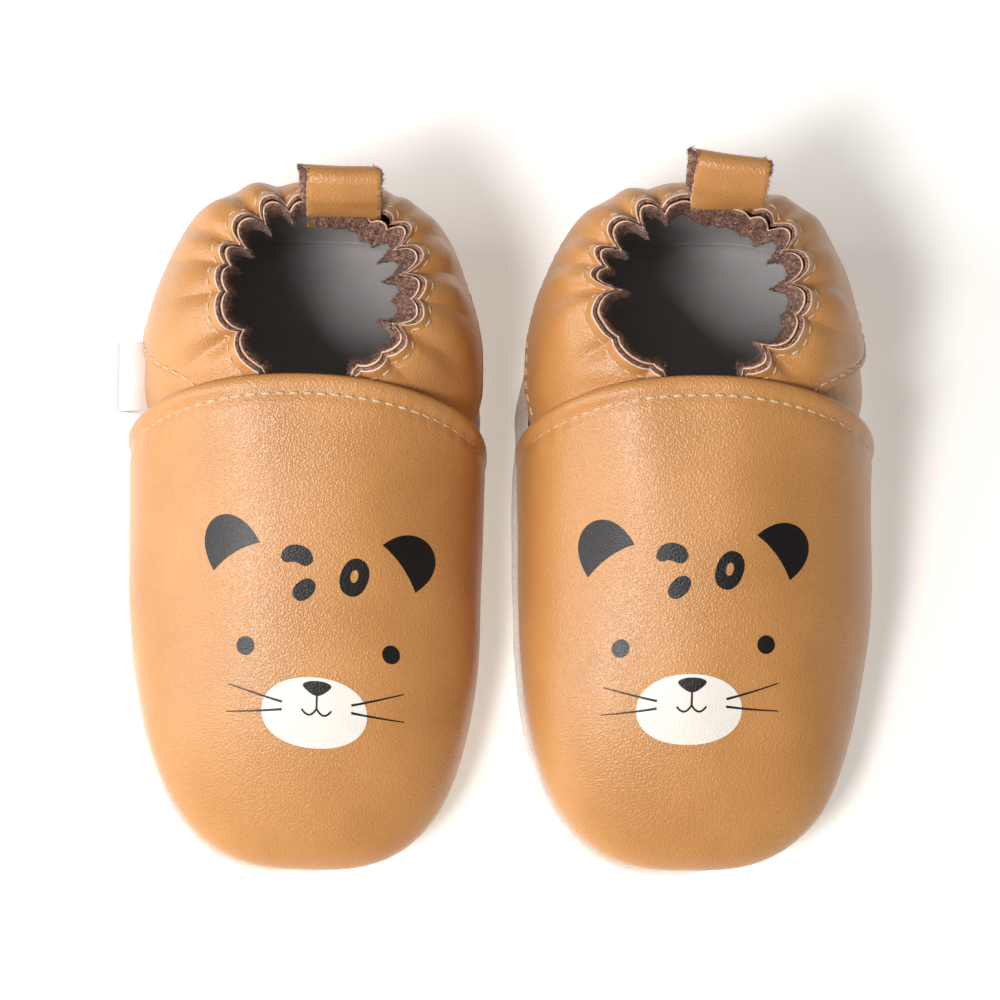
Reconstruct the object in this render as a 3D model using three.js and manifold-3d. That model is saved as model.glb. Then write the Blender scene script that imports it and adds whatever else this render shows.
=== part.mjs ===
// A pair of soft-soled leather baby booties with an elasticated ankle.
// Millimetres, +Z up. The toes point along -Y and the heels along +Y.
import * as THREE from 'three';
import Module from 'manifold-3d';
import { mergeVertices } from 'three/addons/utils/BufferGeometryUtils.js';

const wasm = await Module();
wasm.setup();

// The last: the plain form that every leather layer is laid over.
const lastHalfLength = 58.5;
const lastHalfWidthToe = 28.1;
const lastHalfWidthHeel = 29;
const toeSquareness = 3.5;       // superellipse power of the outline in front of the middle
const heelSquareness = 3;        // and behind it
const widthChangeFrom = -20;      // the toe's width passes into the heel's between these two
const widthChangeTo = 40;
const sectionChangeFrom = -10;    // the round section starts to square up here
const bulgeHeight = 11;          // height of the widest line
const toeHeight = 17;            // top of the last near the toe
const instepHeight = 43;         // top of the last under the hem
const heelHeight = 49;           // top of the last at the heel
const toeCapPower = 5;           // how late the top falls away at the toe
const heelCapPower = 20;         // and at the heel
const toeSectionPower = 2.3;     // roundness of a slice across the foot at the toe
const heelSectionPower = 3.2;    // and at the ankle
const seamHeight = 6;            // where the uppers meet the sole
const seamTuck = 1.2;            // how far the leather draws in from the widest line to the seam

// Materials and fits.
const leather = 1;               // thickness of the upper leather
const clearance = 0.3;           // between layers that are sewn together
const elasticThickness = 0.8;
const elasticWidth = 5;
const threadRadius = 0.3;

// Vamp: the toe cap with its turned hem.
const hemToHeel = 40.5;          // heel end of the last to the middle of the hem
const hemCentre = lastHalfLength - hemToHeel;
const hemBow = 4;                // how far its ends lie in front of its middle
const hemWidth = 5;              // turned-under width
const hemStitchInset = 3.7;      // edge of the hem to its stitch row

// Cuff, heel panel and facing.
const cuffUnderlap = 11;         // how far cuff and heel panel run on under the vamp
const cuffFront = hemCentre - cuffUnderlap;
const cuffSeamHeight = 24;       // lower edge of the cuff
const cuffSeamRise = 6;          // how much that edge climbs towards the hem on the outer side
const cuffSeamRiseLength = 14;
const cuffOverlap = 5;           // width of heel panel under the cuff
const cuffStitchInset = 1.6;
const facingDrop = 36;           // lower edge of the facing

// Ankle opening.
const openingHalfWidth = 18.8;
const openingHalfLength = 15.8;
const openingToHeel = 5.9;       // heel end of the last to the rear edge of the opening
const openingCentre = lastHalfLength - openingToHeel - openingHalfLength;
const openingMouthHalfWidth = 7.9;   // where the cuff edges slip under the hem
const openingTailHalfWidth = 6;      // at the hidden front ends of the cuff
const collarStitchInset = 2;         // edge of the cuff to its row of stitches
const elasticInset = 3;              // edge of the cuff to the elastic

// Sole.
const outsoleThickness = 1.2;
const rimThickness = 1.6;
const dishCorner = 5;            // width of the rounded edge under the sole
const soleHeelGrowth = 0.8;      // how far the sole stands out past the heel panel
const foamThickness = 2;
const foamInset = 5.4;
const insoleThickness = 1;
const insoleInset = 2.4;
const soleStitchDrop = 1.6;      // seam down to the row of stitches on the rim

// Pull loop and side label.
const loopWidth = 13.3;
const loopHeight = 13;           // above its bend line
const loopBaseRadius = 1.1;
const loopFoldRadius = 2.4;
const loopLean = 25;             // degrees towards the heel
const loopSeat = 1.2;            // bend line in front of the rear edge of the opening
const loopTabDrop = 8;           // height of the sewn-down leg
const labelLength = 13;
const labelWidth = 6;
const labelThickness = 1;
const labelGap = 1.5;            // middle of the hem to the tag

// How the two booties stand and differ.
const boots = [
  { name: 'left', centre: -35.7, turn: -1.5, outer: -1, openingShift: 3, loopShift: 5.4, label: true },
  { name: 'right', centre: 35.7, turn: 0, outer: 1, openingShift: 1, loopShift: 4.6, label: false },
];

// Mesh fineness.
const sectionSteps = 16;
const lengthSteps = 24;
const outlineSteps = 40;
const dishSteps = 4;
const openingSteps = 10;
const arcSteps = 6;
const threadSides = 4;
const farAway = 90;              // reach of a cutting block, past every surface

// Layers, as distances from the last, from the foot outwards.
const panelLayer = layer(0, leather);
const cuffLayer = layer(panelLayer.outer + clearance, leather);
const hemLayer = layer(cuffLayer.outer + clearance, leather);
const vampLayer = layer(hemLayer.outer, leather);
const elasticLayer = layer(cuffLayer.inner - clearance - elasticThickness, elasticThickness);
const tabLayer = layer(elasticLayer.inner - clearance - leather, leather);
const facingLayer = layer(tabLayer.inner - clearance - leather, leather);

function layer(inner, thickness) {
  return { inner, outer: inner + thickness };
}

// ---- The last as a surface ----

function smooth(edge0, edge1, value) {
  return THREE.MathUtils.smoothstep(value, edge0, edge1);
}

function lerp(a, b, t) {
  return THREE.MathUtils.lerp(a, b, t);
}

function lastHalfLengthAt(offset) {
  return lastHalfLength + offset;
}

// Raises a sine or cosine to a power and keeps its sign, for superellipse outlines.
function squared(value, power) {
  return Math.sign(value) * Math.abs(value) ** (2 / power);
}

// Full half-width at a station along the foot, before the ends close in.
function bodyHalfWidth(y, offset) {
  return lerp(lastHalfWidthToe, lastHalfWidthHeel, smooth(widthChangeFrom, widthChangeTo, y)) + offset;
}

function outlinePower(y) {
  return y < 0 ? toeSquareness : heelSquareness;
}

function halfWidth(y, offset) {
  const reach = Math.min(1, Math.abs(y) / lastHalfLengthAt(offset));
  const power = outlinePower(y);
  return bodyHalfWidth(y, offset) * (1 - reach ** power) ** (1 / power);
}

// Top of the last on its centre line.
function ridge(y, offset) {
  const toInstep = (y + lastHalfLength) / (hemCentre + lastHalfLength);
  const ramp = y < hemCentre
    ? lerp(toeHeight, instepHeight, toInstep)
    : lerp(instepHeight, heelHeight, smooth(hemCentre, openingCentre, y));
  const reach = Math.min(1, Math.abs(y) / lastHalfLengthAt(offset));
  const cap = Math.sqrt(1 - reach ** (y < 0 ? toeCapPower : heelCapPower));
  return bulgeHeight + (ramp + offset - bulgeHeight) * cap;
}

function sectionPower(y) {
  return lerp(toeSectionPower, heelSectionPower, smooth(sectionChangeFrom, openingCentre, y));
}

// Height of the upper surface over a point in plan.
function heightOver(x, y, offset) {
  const across = Math.abs(x) / Math.max(1e-6, halfWidth(y, offset));
  if (across >= 1) return bulgeHeight;
  const power = sectionPower(y);
  return bulgeHeight + (ridge(y, offset) - bulgeHeight) * (1 - across ** power) ** (1 / power);
}

// One slice across the foot: up one wall, over the top and down the other wall.
function section(y, offset, floor) {
  const width = halfWidth(y, offset);
  const rise = ridge(y, offset) - bulgeHeight;
  const power = sectionPower(y);
  const points = [];
  const wall = (side, z) => {
    const tuck = seamTuck * ((bulgeHeight - z) / (bulgeHeight - seamHeight)) ** 2;
    const shrink = 1 - tuck / bodyHalfWidth(y, offset);
    return new THREE.Vector3(side * width * shrink, y * (1 - tuck / lastHalfLengthAt(offset)), z);
  };
  points.push(wall(1, floor), wall(1, lerp(floor, bulgeHeight, 0.5)));
  for (let i = 0; i <= sectionSteps; i++) {
    const angle = Math.PI * i / sectionSteps;
    const up = squared(Math.sin(angle), power);
    points.push(new THREE.Vector3(squared(Math.cos(angle), power) * width, y, bulgeHeight + rise * up));
  }
  points.push(wall(-1, lerp(floor, bulgeHeight, 0.5)), wall(-1, floor));
  return points;
}

// ---- Solids ----

// Closed body through a stack of rings with equal numbers of points, capped at both ends.
function stackedBody(rings) {
  const count = rings[0].length;
  const positions = [];
  const indices = [];
  for (const ring of rings) for (const p of ring) positions.push(p.x, p.y, p.z);
  for (let r = 0; r < rings.length - 1; r++) {
    for (let i = 0; i < count; i++) {
      const a = r * count + i;
      const b = r * count + (i + 1) % count;
      indices.push(a, b, b + count, a, b + count, a + count);
    }
  }
  for (const [index, flip] of [[0, true], [rings.length - 1, false]]) {
    const middle = rings[index].reduce((sum, p) => sum.add(p), new THREE.Vector3()).divideScalar(count);
    const hub = positions.length / 3;
    positions.push(middle.x, middle.y, middle.z);
    for (let i = 0; i < count; i++) {
      const a = index * count + i;
      const b = index * count + (i + 1) % count;
      indices.push(hub, flip ? b : a, flip ? a : b);
    }
  }
  const geometry = new THREE.BufferGeometry();
  geometry.setAttribute('position', new THREE.Float32BufferAttribute(positions, 3));
  geometry.setIndex(indices);
  return geometry;
}

// Turns a closed geometry into a solid whose faces point out.
function solid(geometry) {
  const bare = geometry.clone();
  bare.deleteAttribute('normal');
  bare.deleteAttribute('uv');
  const merged = mergeVertices(bare, 1e-5);
  const triangles = Uint32Array.from(merged.index.array);
  if (signedVolume(merged.attributes.position.array, triangles) < 0) {
    for (let i = 0; i < triangles.length; i += 3) {
      [triangles[i], triangles[i + 1]] = [triangles[i + 1], triangles[i]];
    }
  }
  const mesh = new wasm.Mesh({
    numProp: 3,
    vertProperties: Float32Array.from(merged.attributes.position.array),
    triVerts: triangles,
  });
  return new wasm.Manifold(mesh);
}

function signedVolume(positions, triangles) {
  let volume = 0;
  const corner = (i) => new THREE.Vector3().fromArray(positions, triangles[i] * 3);
  for (let i = 0; i < triangles.length; i += 3) {
    volume += corner(i).dot(corner(i + 1).cross(corner(i + 2))) / 6;
  }
  return volume;
}

function geometryOf(manifold) {
  const mesh = manifold.getMesh();
  const geometry = new THREE.BufferGeometry();
  geometry.setAttribute('position', new THREE.BufferAttribute(Float32Array.from(mesh.vertProperties), 3));
  geometry.setIndex(Array.from(mesh.triVerts));
  geometry.computeVertexNormals();
  return geometry;
}

// The last grown by an offset, standing on a flat floor.
function lastSolid(offset, floor) {
  const rings = [];
  const endTurn = 0.97;
  for (let i = 0; i <= lengthSteps; i++) {
    const turn = (2 * i / lengthSteps - 1) * endTurn;
    rings.push(section(lastHalfLengthAt(offset) * Math.sin(turn * Math.PI / 2), offset, floor));
  }
  return solid(stackedBody(rings));
}

// The space between two offsets of the last, open underneath.
function shell({ inner, outer }) {
  const floor = seamHeight + clearance;
  return lastSolid(outer, floor).subtract(lastSolid(inner, floor - leather));
}

// Upright block over an outline in plan.
function planBlock(shape) {
  return solid(new THREE.ExtrudeGeometry(shape, { depth: farAway, bevelEnabled: false, curveSegments: openingSteps }));
}

// Block with an outline seen from the side, between two distances across the foot.
function sideBlock(points, from, to) {
  const shape = new THREE.Shape(points.map(([y, z]) => new THREE.Vector2(y, z)));
  const geometry = new THREE.ExtrudeGeometry(shape, { depth: to - from, bevelEnabled: false });
  const toSide = new THREE.Matrix4().makeBasis(
    new THREE.Vector3(0, 1, 0), new THREE.Vector3(0, 0, 1), new THREE.Vector3(1, 0, 0));
  geometry.applyMatrix4(toSide);
  geometry.translate(from, 0, 0);
  return solid(geometry);
}

// A thread or cord of round section along a curve.
function tube(points, radius) {
  const curve = new THREE.CatmullRomCurve3(points, false, 'centripetal');
  const ring = new THREE.Shape();
  for (let i = 0; i < threadSides; i++) {
    const angle = 2 * Math.PI * i / threadSides;
    ring[i ? 'lineTo' : 'moveTo'](radius * Math.cos(angle), radius * Math.sin(angle));
  }
  return new THREE.ExtrudeGeometry(ring, { steps: points.length, extrudePath: curve, bevelEnabled: false });
}

// ---- Outlines in plan ----

// Everything in front of the hem, less a band of the given width.
function hemFront(inset) {
  const side = farAway;
  const edge = (x) => hemCentre - inset - hemBow * (x / lastHalfWidthToe) ** 2;
  const shape = new THREE.Shape();
  shape.moveTo(-side, -side);
  shape.lineTo(side, -side);
  shape.lineTo(side, edge(lastHalfWidthToe * 1.3));
  for (let i = 12; i >= -12; i--) {
    const x = lastHalfWidthToe * 1.3 * i / 12;
    shape.lineTo(x, edge(x));
  }
  shape.lineTo(-side, edge(lastHalfWidthToe * 1.3));
  return planBlock(shape);
}

// The ankle opening: a broad round at the heel, drawing in to a narrow mouth under the hem.
function openingOutline(shift, grow) {
  const frontTurn = THREE.MathUtils.degToRad(35);
  const mouth = openingMouthHalfWidth + grow;
  const tail = openingTailHalfWidth + grow;
  const front = cuffFront - leather;
  const shape = new THREE.Shape();
  shape.absellipse(shift, openingCentre, openingHalfWidth + grow, openingHalfLength + grow,
    -frontTurn, Math.PI + frontTurn, false, 0);
  shape.lineTo(shift - mouth, hemCentre + leather);
  shape.lineTo(shift - tail, front);
  shape.lineTo(shift + tail, front);
  shape.lineTo(shift + mouth, hemCentre + leather);
  return planBlock(shape);
}

function sideRegion(boot, height, top) {
  const start = cuffFront;
  const climb = [
    [start, height + cuffSeamRise], [hemCentre, height + cuffSeamRise],
    [hemCentre + cuffSeamRiseLength, height], [farAway, height],
  ];
  const level = [[start, height], [farAway, height]];
  const close = [[farAway, top], [start, top]];
  const outer = sideBlock([...climb, ...close], boot.outer > 0 ? 0 : -farAway, boot.outer > 0 ? farAway : 0);
  const inner = sideBlock([...level, ...close], boot.outer > 0 ? -farAway : 0, boot.outer > 0 ? 0 : farAway);
  return outer.add(inner);
}

// ---- Sole ----

// Distance of the sole's rim from the last: out under the vamp, in under the heel panel.
function rimOffset(y) {
  const front = vampLayer.outer - seamTuck;
  const back = panelLayer.outer - seamTuck + soleHeelGrowth;
  return lerp(front, back, smooth(cuffFront - leather, openingCentre, y));
}

function soleRing(inset, z) {
  const ring = [];
  for (let i = 0; i < outlineSteps; i++) {
    const angle = 2 * Math.PI * i / outlineSteps;
    const power = outlinePower(Math.sin(angle));
    const along = squared(Math.sin(angle), power);
    const across = squared(Math.cos(angle), power);
    const offset = rimOffset(along * lastHalfLength) - inset;
    const y = along * lastHalfLengthAt(offset);
    ring.push(new THREE.Vector3(across * bodyHalfWidth(y, offset), y, z));
  }
  return ring;
}

// A soft dish: flat underneath, its rim turned up to the seam on a quarter ellipse.
function outsole() {
  const rings = [];
  const turns = Array.from({ length: dishSteps + 1 }, (_, i) => Math.PI / 2 * i / dishSteps);
  for (const turn of turns) {
    rings.push(soleRing(dishCorner * (1 - Math.sin(turn)), seamHeight * (1 - Math.cos(turn))));
  }
  const inside = dishCorner - rimThickness;
  const depth = seamHeight - outsoleThickness;
  for (const turn of turns.reverse()) {
    const inset = rimThickness + inside * (1 - Math.sin(turn));
    rings.push(soleRing(inset, outsoleThickness + depth * (1 - Math.cos(turn))));
  }
  return stackedBody(rings);
}

function foamBottom() {
  return outsoleThickness + clearance;
}

function insoleBottom() {
  return foamBottom() + foamThickness + clearance;
}

function soleFoam() {
  const bottom = foamBottom();
  return stackedBody([soleRing(foamInset, bottom), soleRing(foamInset, bottom + foamThickness)]);
}

function insole() {
  const bottom = insoleBottom();
  return stackedBody([soleRing(insoleInset, bottom), soleRing(insoleInset, bottom + insoleThickness)]);
}

// ---- Uppers ----

function vamp() {
  const skin = shell(vampLayer).intersect(hemFront(0));
  const turned = shell({ inner: hemLayer.inner, outer: vampLayer.outer })
    .intersect(hemFront(0)).subtract(hemFront(hemWidth));
  return geometryOf(skin.add(turned));
}

function ankleCuff(boot) {
  return geometryOf(shell(cuffLayer)
    .intersect(sideRegion(boot, cuffSeamHeight, farAway))
    .subtract(openingOutline(boot.openingShift, 0)));
}

function heelPanel(boot) {
  const whole = shell(panelLayer).intersect(sideRegion(boot, -farAway, farAway));
  const above = sideRegion(boot, cuffSeamHeight + cuffOverlap, farAway);
  return geometryOf(whole.subtract(above));
}

function cuffFacing(boot) {
  const grow = facingLayer.outer - cuffLayer.outer;
  return geometryOf(shell(facingLayer)
    .intersect(sideBlock([[cuffFront, facingDrop], [farAway, facingDrop],
      [farAway, farAway], [cuffFront, farAway]], -farAway, farAway))
    .subtract(openingOutline(boot.openingShift, grow)));
}

function elasticBand(boot) {
  const grow = elasticLayer.outer - cuffLayer.outer + elasticInset;
  const low = cuffSeamHeight + cuffSeamRise + cuffOverlap + clearance;
  return geometryOf(shell(elasticLayer)
    .intersect(sideBlock([[cuffFront, low], [farAway, low],
      [farAway, farAway], [cuffFront, farAway]], -farAway, farAway))
    .intersect(openingOutline(boot.openingShift, grow + elasticWidth))
    .subtract(openingOutline(boot.openingShift, grow)));
}

// ---- Pull loop ----

// Outline of a strip bent round two rolls of different size.
function rollOutline(path, low, lowRadius, high, highRadius) {
  const tilt = Math.asin((highRadius - lowRadius) / (high - low));
  path.absarc(0, high, highRadius, -tilt, Math.PI + tilt, false);
  path.absarc(0, low, lowRadius, Math.PI + tilt, 2 * Math.PI - tilt, false);
  return path;
}

function loopAxis(boot) {
  const y = openingCentre + openingHalfLength - loopSeat;
  let top = 0;
  for (let x = -loopWidth / 2; x <= loopWidth / 2; x += 0.5) {
    const across = (x + boot.loopShift - boot.openingShift) / openingHalfWidth;
    const edge = openingCentre + openingHalfLength * Math.sqrt(1 - across ** 2);
    top = Math.max(top, heightOver(x + boot.loopShift, edge, cuffLayer.outer));
  }
  return new THREE.Vector3(boot.loopShift, y, top + clearance + loopBaseRadius);
}

function pullLoop(boot) {
  const top = loopHeight - loopFoldRadius;
  const shape = rollOutline(new THREE.Shape(), 0, loopBaseRadius, top, loopFoldRadius);
  const inside = loopFoldRadius - leather;
  shape.holes.push(rollOutline(new THREE.Path(), 2 * loopBaseRadius, inside / 3, top, inside));
  const geometry = new THREE.ExtrudeGeometry(shape,
    { depth: loopWidth, bevelEnabled: false, curveSegments: arcSteps });
  geometry.applyMatrix4(new THREE.Matrix4().makeBasis(
    new THREE.Vector3(0, 1, 0), new THREE.Vector3(0, 0, 1), new THREE.Vector3(1, 0, 0)));
  geometry.translate(-loopWidth / 2, 0, 0);
  const mesh = piece(`${boot.name}_pull_loop`, geometry, 'leather');
  mesh.position.copy(loopAxis(boot));
  mesh.rotation.x = -THREE.MathUtils.degToRad(loopLean);
  return mesh;
}

// The sewn-down legs of the loop, between the elastic and the facing.
function pullLoopTab(boot) {
  const grow = tabLayer.outer - cuffLayer.outer;
  const low = facingDrop + leather;
  const inside = openingCentre + openingHalfLength / 2;
  const window = sideBlock([[inside, low], [farAway, low], [farAway, low + loopTabDrop],
    [inside, low + loopTabDrop]], boot.loopShift - loopWidth / 2, boot.loopShift + loopWidth / 2);
  return geometryOf(shell(tabLayer).intersect(window)
    .subtract(openingOutline(boot.openingShift, grow)));
}

// ---- Stitching ----

function hemThread() {
  const points = [];
  const offset = vampLayer.outer + clearance + threadRadius;
  const steps = 22;
  const low = 16;                // degrees up from the widest line
  for (let i = 0; i <= steps; i++) {
    const angle = THREE.MathUtils.degToRad(lerp(low, 180 - low, i / steps));
    const across = squared(Math.cos(angle), sectionPower(hemCentre));
    const x = across * halfWidth(hemCentre - hemStitchInset, offset);
    const y = hemCentre - hemStitchInset - hemBow * (x / lastHalfWidthToe) ** 2;
    points.push(new THREE.Vector3(x, y, heightOver(x, y, offset)));
  }
  return tube(points, threadRadius);
}

// Point on the last, grown by an offset, at a height and in a direction from a hub in plan.
function pointAtHeight(hub, angle, z, offset) {
  let near = 0;
  let far = farAway;
  const at = (r) => new THREE.Vector3(hub.x + r * Math.sin(angle), hub.y + r * Math.cos(angle), z);
  for (let i = 0; i < 40; i++) {
    const middle = (near + far) / 2;
    const { x, y } = at(middle);
    const inside = Math.abs(y) < lastHalfLengthAt(offset) && Math.abs(x) < halfWidth(y, offset);
    if (inside && heightOver(x, y, offset) > z) near = middle;
    else far = middle;
  }
  return at(near);
}

function seamHeightAt(boot, point) {
  if (point.x * boot.outer < 0) return cuffSeamHeight;
  const back = (point.y - hemCentre) / cuffSeamRiseLength;
  return cuffSeamHeight + cuffSeamRise * (1 - THREE.MathUtils.clamp(back, 0, 1));
}

// Row along the lower edge of the cuff, from hem to hem round the heel.
function cuffThread(boot) {
  const points = [];
  const offset = cuffLayer.outer + clearance + threadRadius;
  const steps = 28;
  const halfTurn = THREE.MathUtils.degToRad(82);
  const hub = new THREE.Vector2(0, openingCentre / 2);
  for (let i = 0; i <= steps; i++) {
    const angle = lerp(-halfTurn, halfTurn, i / steps);
    const edge = pointAtHeight(hub, angle, cuffSeamHeight, offset);
    points.push(pointAtHeight(hub, angle, seamHeightAt(boot, edge) + cuffStitchInset, offset));
  }
  return tube(points, threadRadius);
}

// Follows the leather down from the edge of the opening for a distance.
function belowOpening(boot, angle, distance, offset) {
  const hub = new THREE.Vector2(boot.openingShift, openingCentre);
  const edge = new THREE.Vector3(
    hub.x + openingHalfWidth * Math.sin(angle), hub.y + openingHalfLength * Math.cos(angle), 0);
  edge.z = heightOver(edge.x, edge.y, offset);
  const drop = 0.2;
  let point = edge;
  let travelled = 0;
  while (travelled < distance && point.z > facingDrop) {
    const next = pointAtHeight(hub, angle, point.z - drop, offset);
    travelled += point === edge ? drop : next.distanceTo(point);
    point = next;
  }
  return point;
}

// Row that joins cuff and facing, round the opening.
function collarThread(boot) {
  const points = [];
  const offset = cuffLayer.outer + clearance + threadRadius;
  const steps = 24;
  const halfTurn = THREE.MathUtils.degToRad(112);
  for (let i = 0; i <= steps; i++) {
    points.push(belowOpening(boot, lerp(-halfTurn, halfTurn, i / steps), collarStitchInset, offset));
  }
  return tube(points, threadRadius);
}

// Row round the rim of the sole, with a small break where its two ends meet.
function soleThread() {
  const points = soleRing(-clearance - threadRadius, seamHeight - soleStitchDrop);
  const end = points[outlineSteps - 1].clone().lerp(points[0], 0.7);
  return tube([...points, end], threadRadius);
}

// ---- Label ----

// Half-width of the last at a height above its widest line.
function halfWidthAt(y, z, offset) {
  const power = sectionPower(y);
  const up = (z - bulgeHeight) / (ridge(y, offset) - bulgeHeight);
  return halfWidth(y, offset) * (1 - up ** power) ** (1 / power);
}

// A folded tag, sewn in under the lower edge of the cuff and free to flap.
function sideLabel(boot) {
  const shape = new THREE.Shape();
  const r = labelThickness / 2;
  shape.absarc(0, 0, r, Math.PI / 2, 3 * Math.PI / 2, false);
  shape.absarc(labelWidth - 2 * r, 0, r, -Math.PI / 2, Math.PI / 2, false);
  const geometry = new THREE.ExtrudeGeometry(shape,
    { depth: labelLength, bevelEnabled: false, curveSegments: arcSteps });
  geometry.applyMatrix4(new THREE.Matrix4().makeBasis(
    new THREE.Vector3(boot.outer, 0, 0), new THREE.Vector3(0, 0, -boot.outer), new THREE.Vector3(0, 1, 0)));
  const height = cuffSeamHeight - clearance - r;
  const offset = panelLayer.outer + clearance + r;
  const labelFront = hemCentre + labelGap;
  const front = halfWidthAt(labelFront, height, offset);
  const back = halfWidthAt(labelFront + labelLength, height, offset);
  const mesh = piece(`${boot.name}_side_label`, geometry, 'label');
  mesh.position.set(boot.outer * front, labelFront, height);
  mesh.rotation.z = boot.outer * Math.atan2(front - back, labelLength);
  return mesh;
}

// ---- Assembly ----

const finishes = {
  leather: { color: 0xcd945a, roughness: 0.45 },
  flesh: { color: 0x5b4134, roughness: 0.95 },
  suede: { color: 0xefe8e0, roughness: 0.95 },
  foam: { color: 0xd9d6d0, roughness: 0.9 },
  lining: { color: 0xb9b3b0, roughness: 0.85 },
  elastic: { color: 0xe9e4da, roughness: 0.8 },
  thread: { color: 0xe8d2b4, roughness: 0.7 },
  label: { color: 0xf3f0ee, roughness: 0.85 },
};

function piece(name, geometry, finish) {
  const material = new THREE.MeshStandardMaterial({ ...finishes[finish], metalness: 0 });
  const mesh = new THREE.Mesh(geometry, material);
  mesh.name = name;
  return mesh;
}

function bootie(boot) {
  const group = new THREE.Group();
  const add = (name, geometry, finish) => group.add(piece(`${boot.name}_${name}`, geometry, finish));
  add('outsole', outsole(), 'suede');
  add('sole_foam', soleFoam(), 'foam');
  add('insole', insole(), 'lining');
  add('vamp', vamp(), 'leather');
  add('heel_panel', heelPanel(boot), 'leather');
  add('ankle_cuff', ankleCuff(boot), 'leather');
  add('cuff_facing', cuffFacing(boot), 'flesh');
  add('elastic_band', elasticBand(boot), 'elastic');
  group.add(pullLoop(boot));
  add('pull_loop_tab', pullLoopTab(boot), 'leather');
  add('hem_thread', hemThread(), 'thread');
  add('cuff_thread', cuffThread(boot), 'thread');
  add('collar_thread', collarThread(boot), 'thread');
  add('sole_thread', soleThread(), 'thread');
  if (boot.label) group.add(sideLabel(boot));
  group.position.x = boot.centre;
  group.rotation.z = THREE.MathUtils.degToRad(boot.turn);
  return group;
}

// The pair stands with the middle of its footprint at the origin.
const pair = new THREE.Group();
for (const boot of boots) pair.add(bootie(boot));
pair.updateMatrixWorld(true);
const bounds = new THREE.Box3().setFromObject(pair, true);
const middle = bounds.getCenter(new THREE.Vector3());
pair.position.set(-middle.x, -middle.y, -bounds.min.z);

export default pair;
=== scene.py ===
import math
import random

import bmesh
import bpy
import numpy as np
from mathutils import Matrix, Vector


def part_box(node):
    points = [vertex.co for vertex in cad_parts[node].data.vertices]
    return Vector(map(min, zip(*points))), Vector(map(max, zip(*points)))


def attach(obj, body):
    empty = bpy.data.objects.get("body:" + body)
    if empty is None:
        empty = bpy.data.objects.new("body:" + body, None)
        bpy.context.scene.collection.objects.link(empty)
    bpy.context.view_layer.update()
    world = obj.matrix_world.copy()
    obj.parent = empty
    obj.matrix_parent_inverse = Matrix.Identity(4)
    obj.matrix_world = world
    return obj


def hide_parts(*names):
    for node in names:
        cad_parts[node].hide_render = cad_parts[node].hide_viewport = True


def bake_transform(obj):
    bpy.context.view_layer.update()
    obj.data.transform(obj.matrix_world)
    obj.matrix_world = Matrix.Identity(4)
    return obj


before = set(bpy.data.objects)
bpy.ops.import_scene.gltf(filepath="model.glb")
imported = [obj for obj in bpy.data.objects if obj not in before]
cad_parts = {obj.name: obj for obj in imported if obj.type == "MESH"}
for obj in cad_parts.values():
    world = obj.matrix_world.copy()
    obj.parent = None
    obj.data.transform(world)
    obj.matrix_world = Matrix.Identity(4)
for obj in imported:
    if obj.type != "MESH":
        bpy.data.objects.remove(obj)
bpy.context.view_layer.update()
print("frame loaded")

mm = 0.001

# The last that every layer is laid over, in millimetres: x across, -y to the toes, z up.
last = {
    "halfLength": 58.5, "halfWidthToe": 28.1, "halfWidthHeel": 29.0,
    "toeSquareness": 2.85, "heelSquareness": 3.8, "bulgeHeight": 11.0, "seamHeight": 6.0,
    "seamTuck": 1.2, "toeHeight": 17.0, "instepHeight": 43.0, "heelHeight": 49.0,
    "toeCapPower": 5, "heelCapPower": 20, "toeSectionPower": 2.3, "heelSectionPower": 3.2,
    "instepLine": 18.0, "hemCentre": 21.8, "openingCentre": 36.8,
    "quarterSwell": 1.5,
}
leather = 1.0

# How each bootie differs. Cusps are the pinches of the gathered collar: degrees from the heel, then
# depth in mm.
boots = {
    "left": {
        "turn": -1.5, "drift": -1.1, "toeBend": 2.3, "heelBend": 0.5, "outer": -1, "hub": 1.6,
        "mouthShift": -2.7, "openWidth": 17.6, "mouth": 4.8, "sideBulge": 2.0, "loop": 5.4,
        "lean": 34, "reach": 6.9, "loopBack": 0.0, "facingDip": 0.8, "twist": 0, "seed": 4,
        "cusps": [(-151, 0.9), (-119, 2.1), (-93, 0.7), (-76, 1.0), (-62, 3.0), (-41, 2.8), (-23, 2.0),
                  (33, 2.0), (44, 1.6), (58, 2.9), (76, 3.0), (93, 0.9), (112, 2.9), (132, 0.8), (150, 0.9)],
    },
    "right": {
        "turn": 0.0, "drift": 0.0, "toeBend": -1.3, "heelBend": -0.3, "outer": 1, "hub": -0.4,
        "mouthShift": 0.75, "openWidth": 18.5, "mouth": 3.8, "sideBulge": 1.0, "loop": 4.6,
        "lean": 42, "reach": 7.4, "loopBack": 1.4, "facingDip": 0.2, "twist": -8, "seed": 9,
        "cusps": [(-146, 0.8), (-118, 0.7), (-88, 4.0), (-74, 1.3), (-61, 2.8), (-41, 3.0), (-24, 1.8),
                  (33, 2.0), (46, 2.9), (63, 2.7), (84, 3.0), (103, 1.0), (130, 3.0), (150, 0.7)],
    },
}
for side, boot in boots.items():
    low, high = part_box(side + "_outsole")
    boot["angle"] = math.radians(boot["turn"])
    # The outsole's middle lies 1.4 mm in front of the last's.
    boot["origin"] = np.array([(low.x + high.x) / 2 - 1.4 * mm * math.sin(boot["angle"]),
                               (low.y + high.y) / 2 + 1.4 * mm * math.cos(boot["angle"]), 0])


def smooth(low, high, value):
    t = np.clip((value - low) / (high - low), 0, 1)
    return t * t * (3 - 2 * t)


def mix(a, b, t):
    return a + (b - a) * t


def stack(x, y, z):
    return np.stack(np.broadcast_arrays(x, y, z), -1).astype(float)


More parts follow.
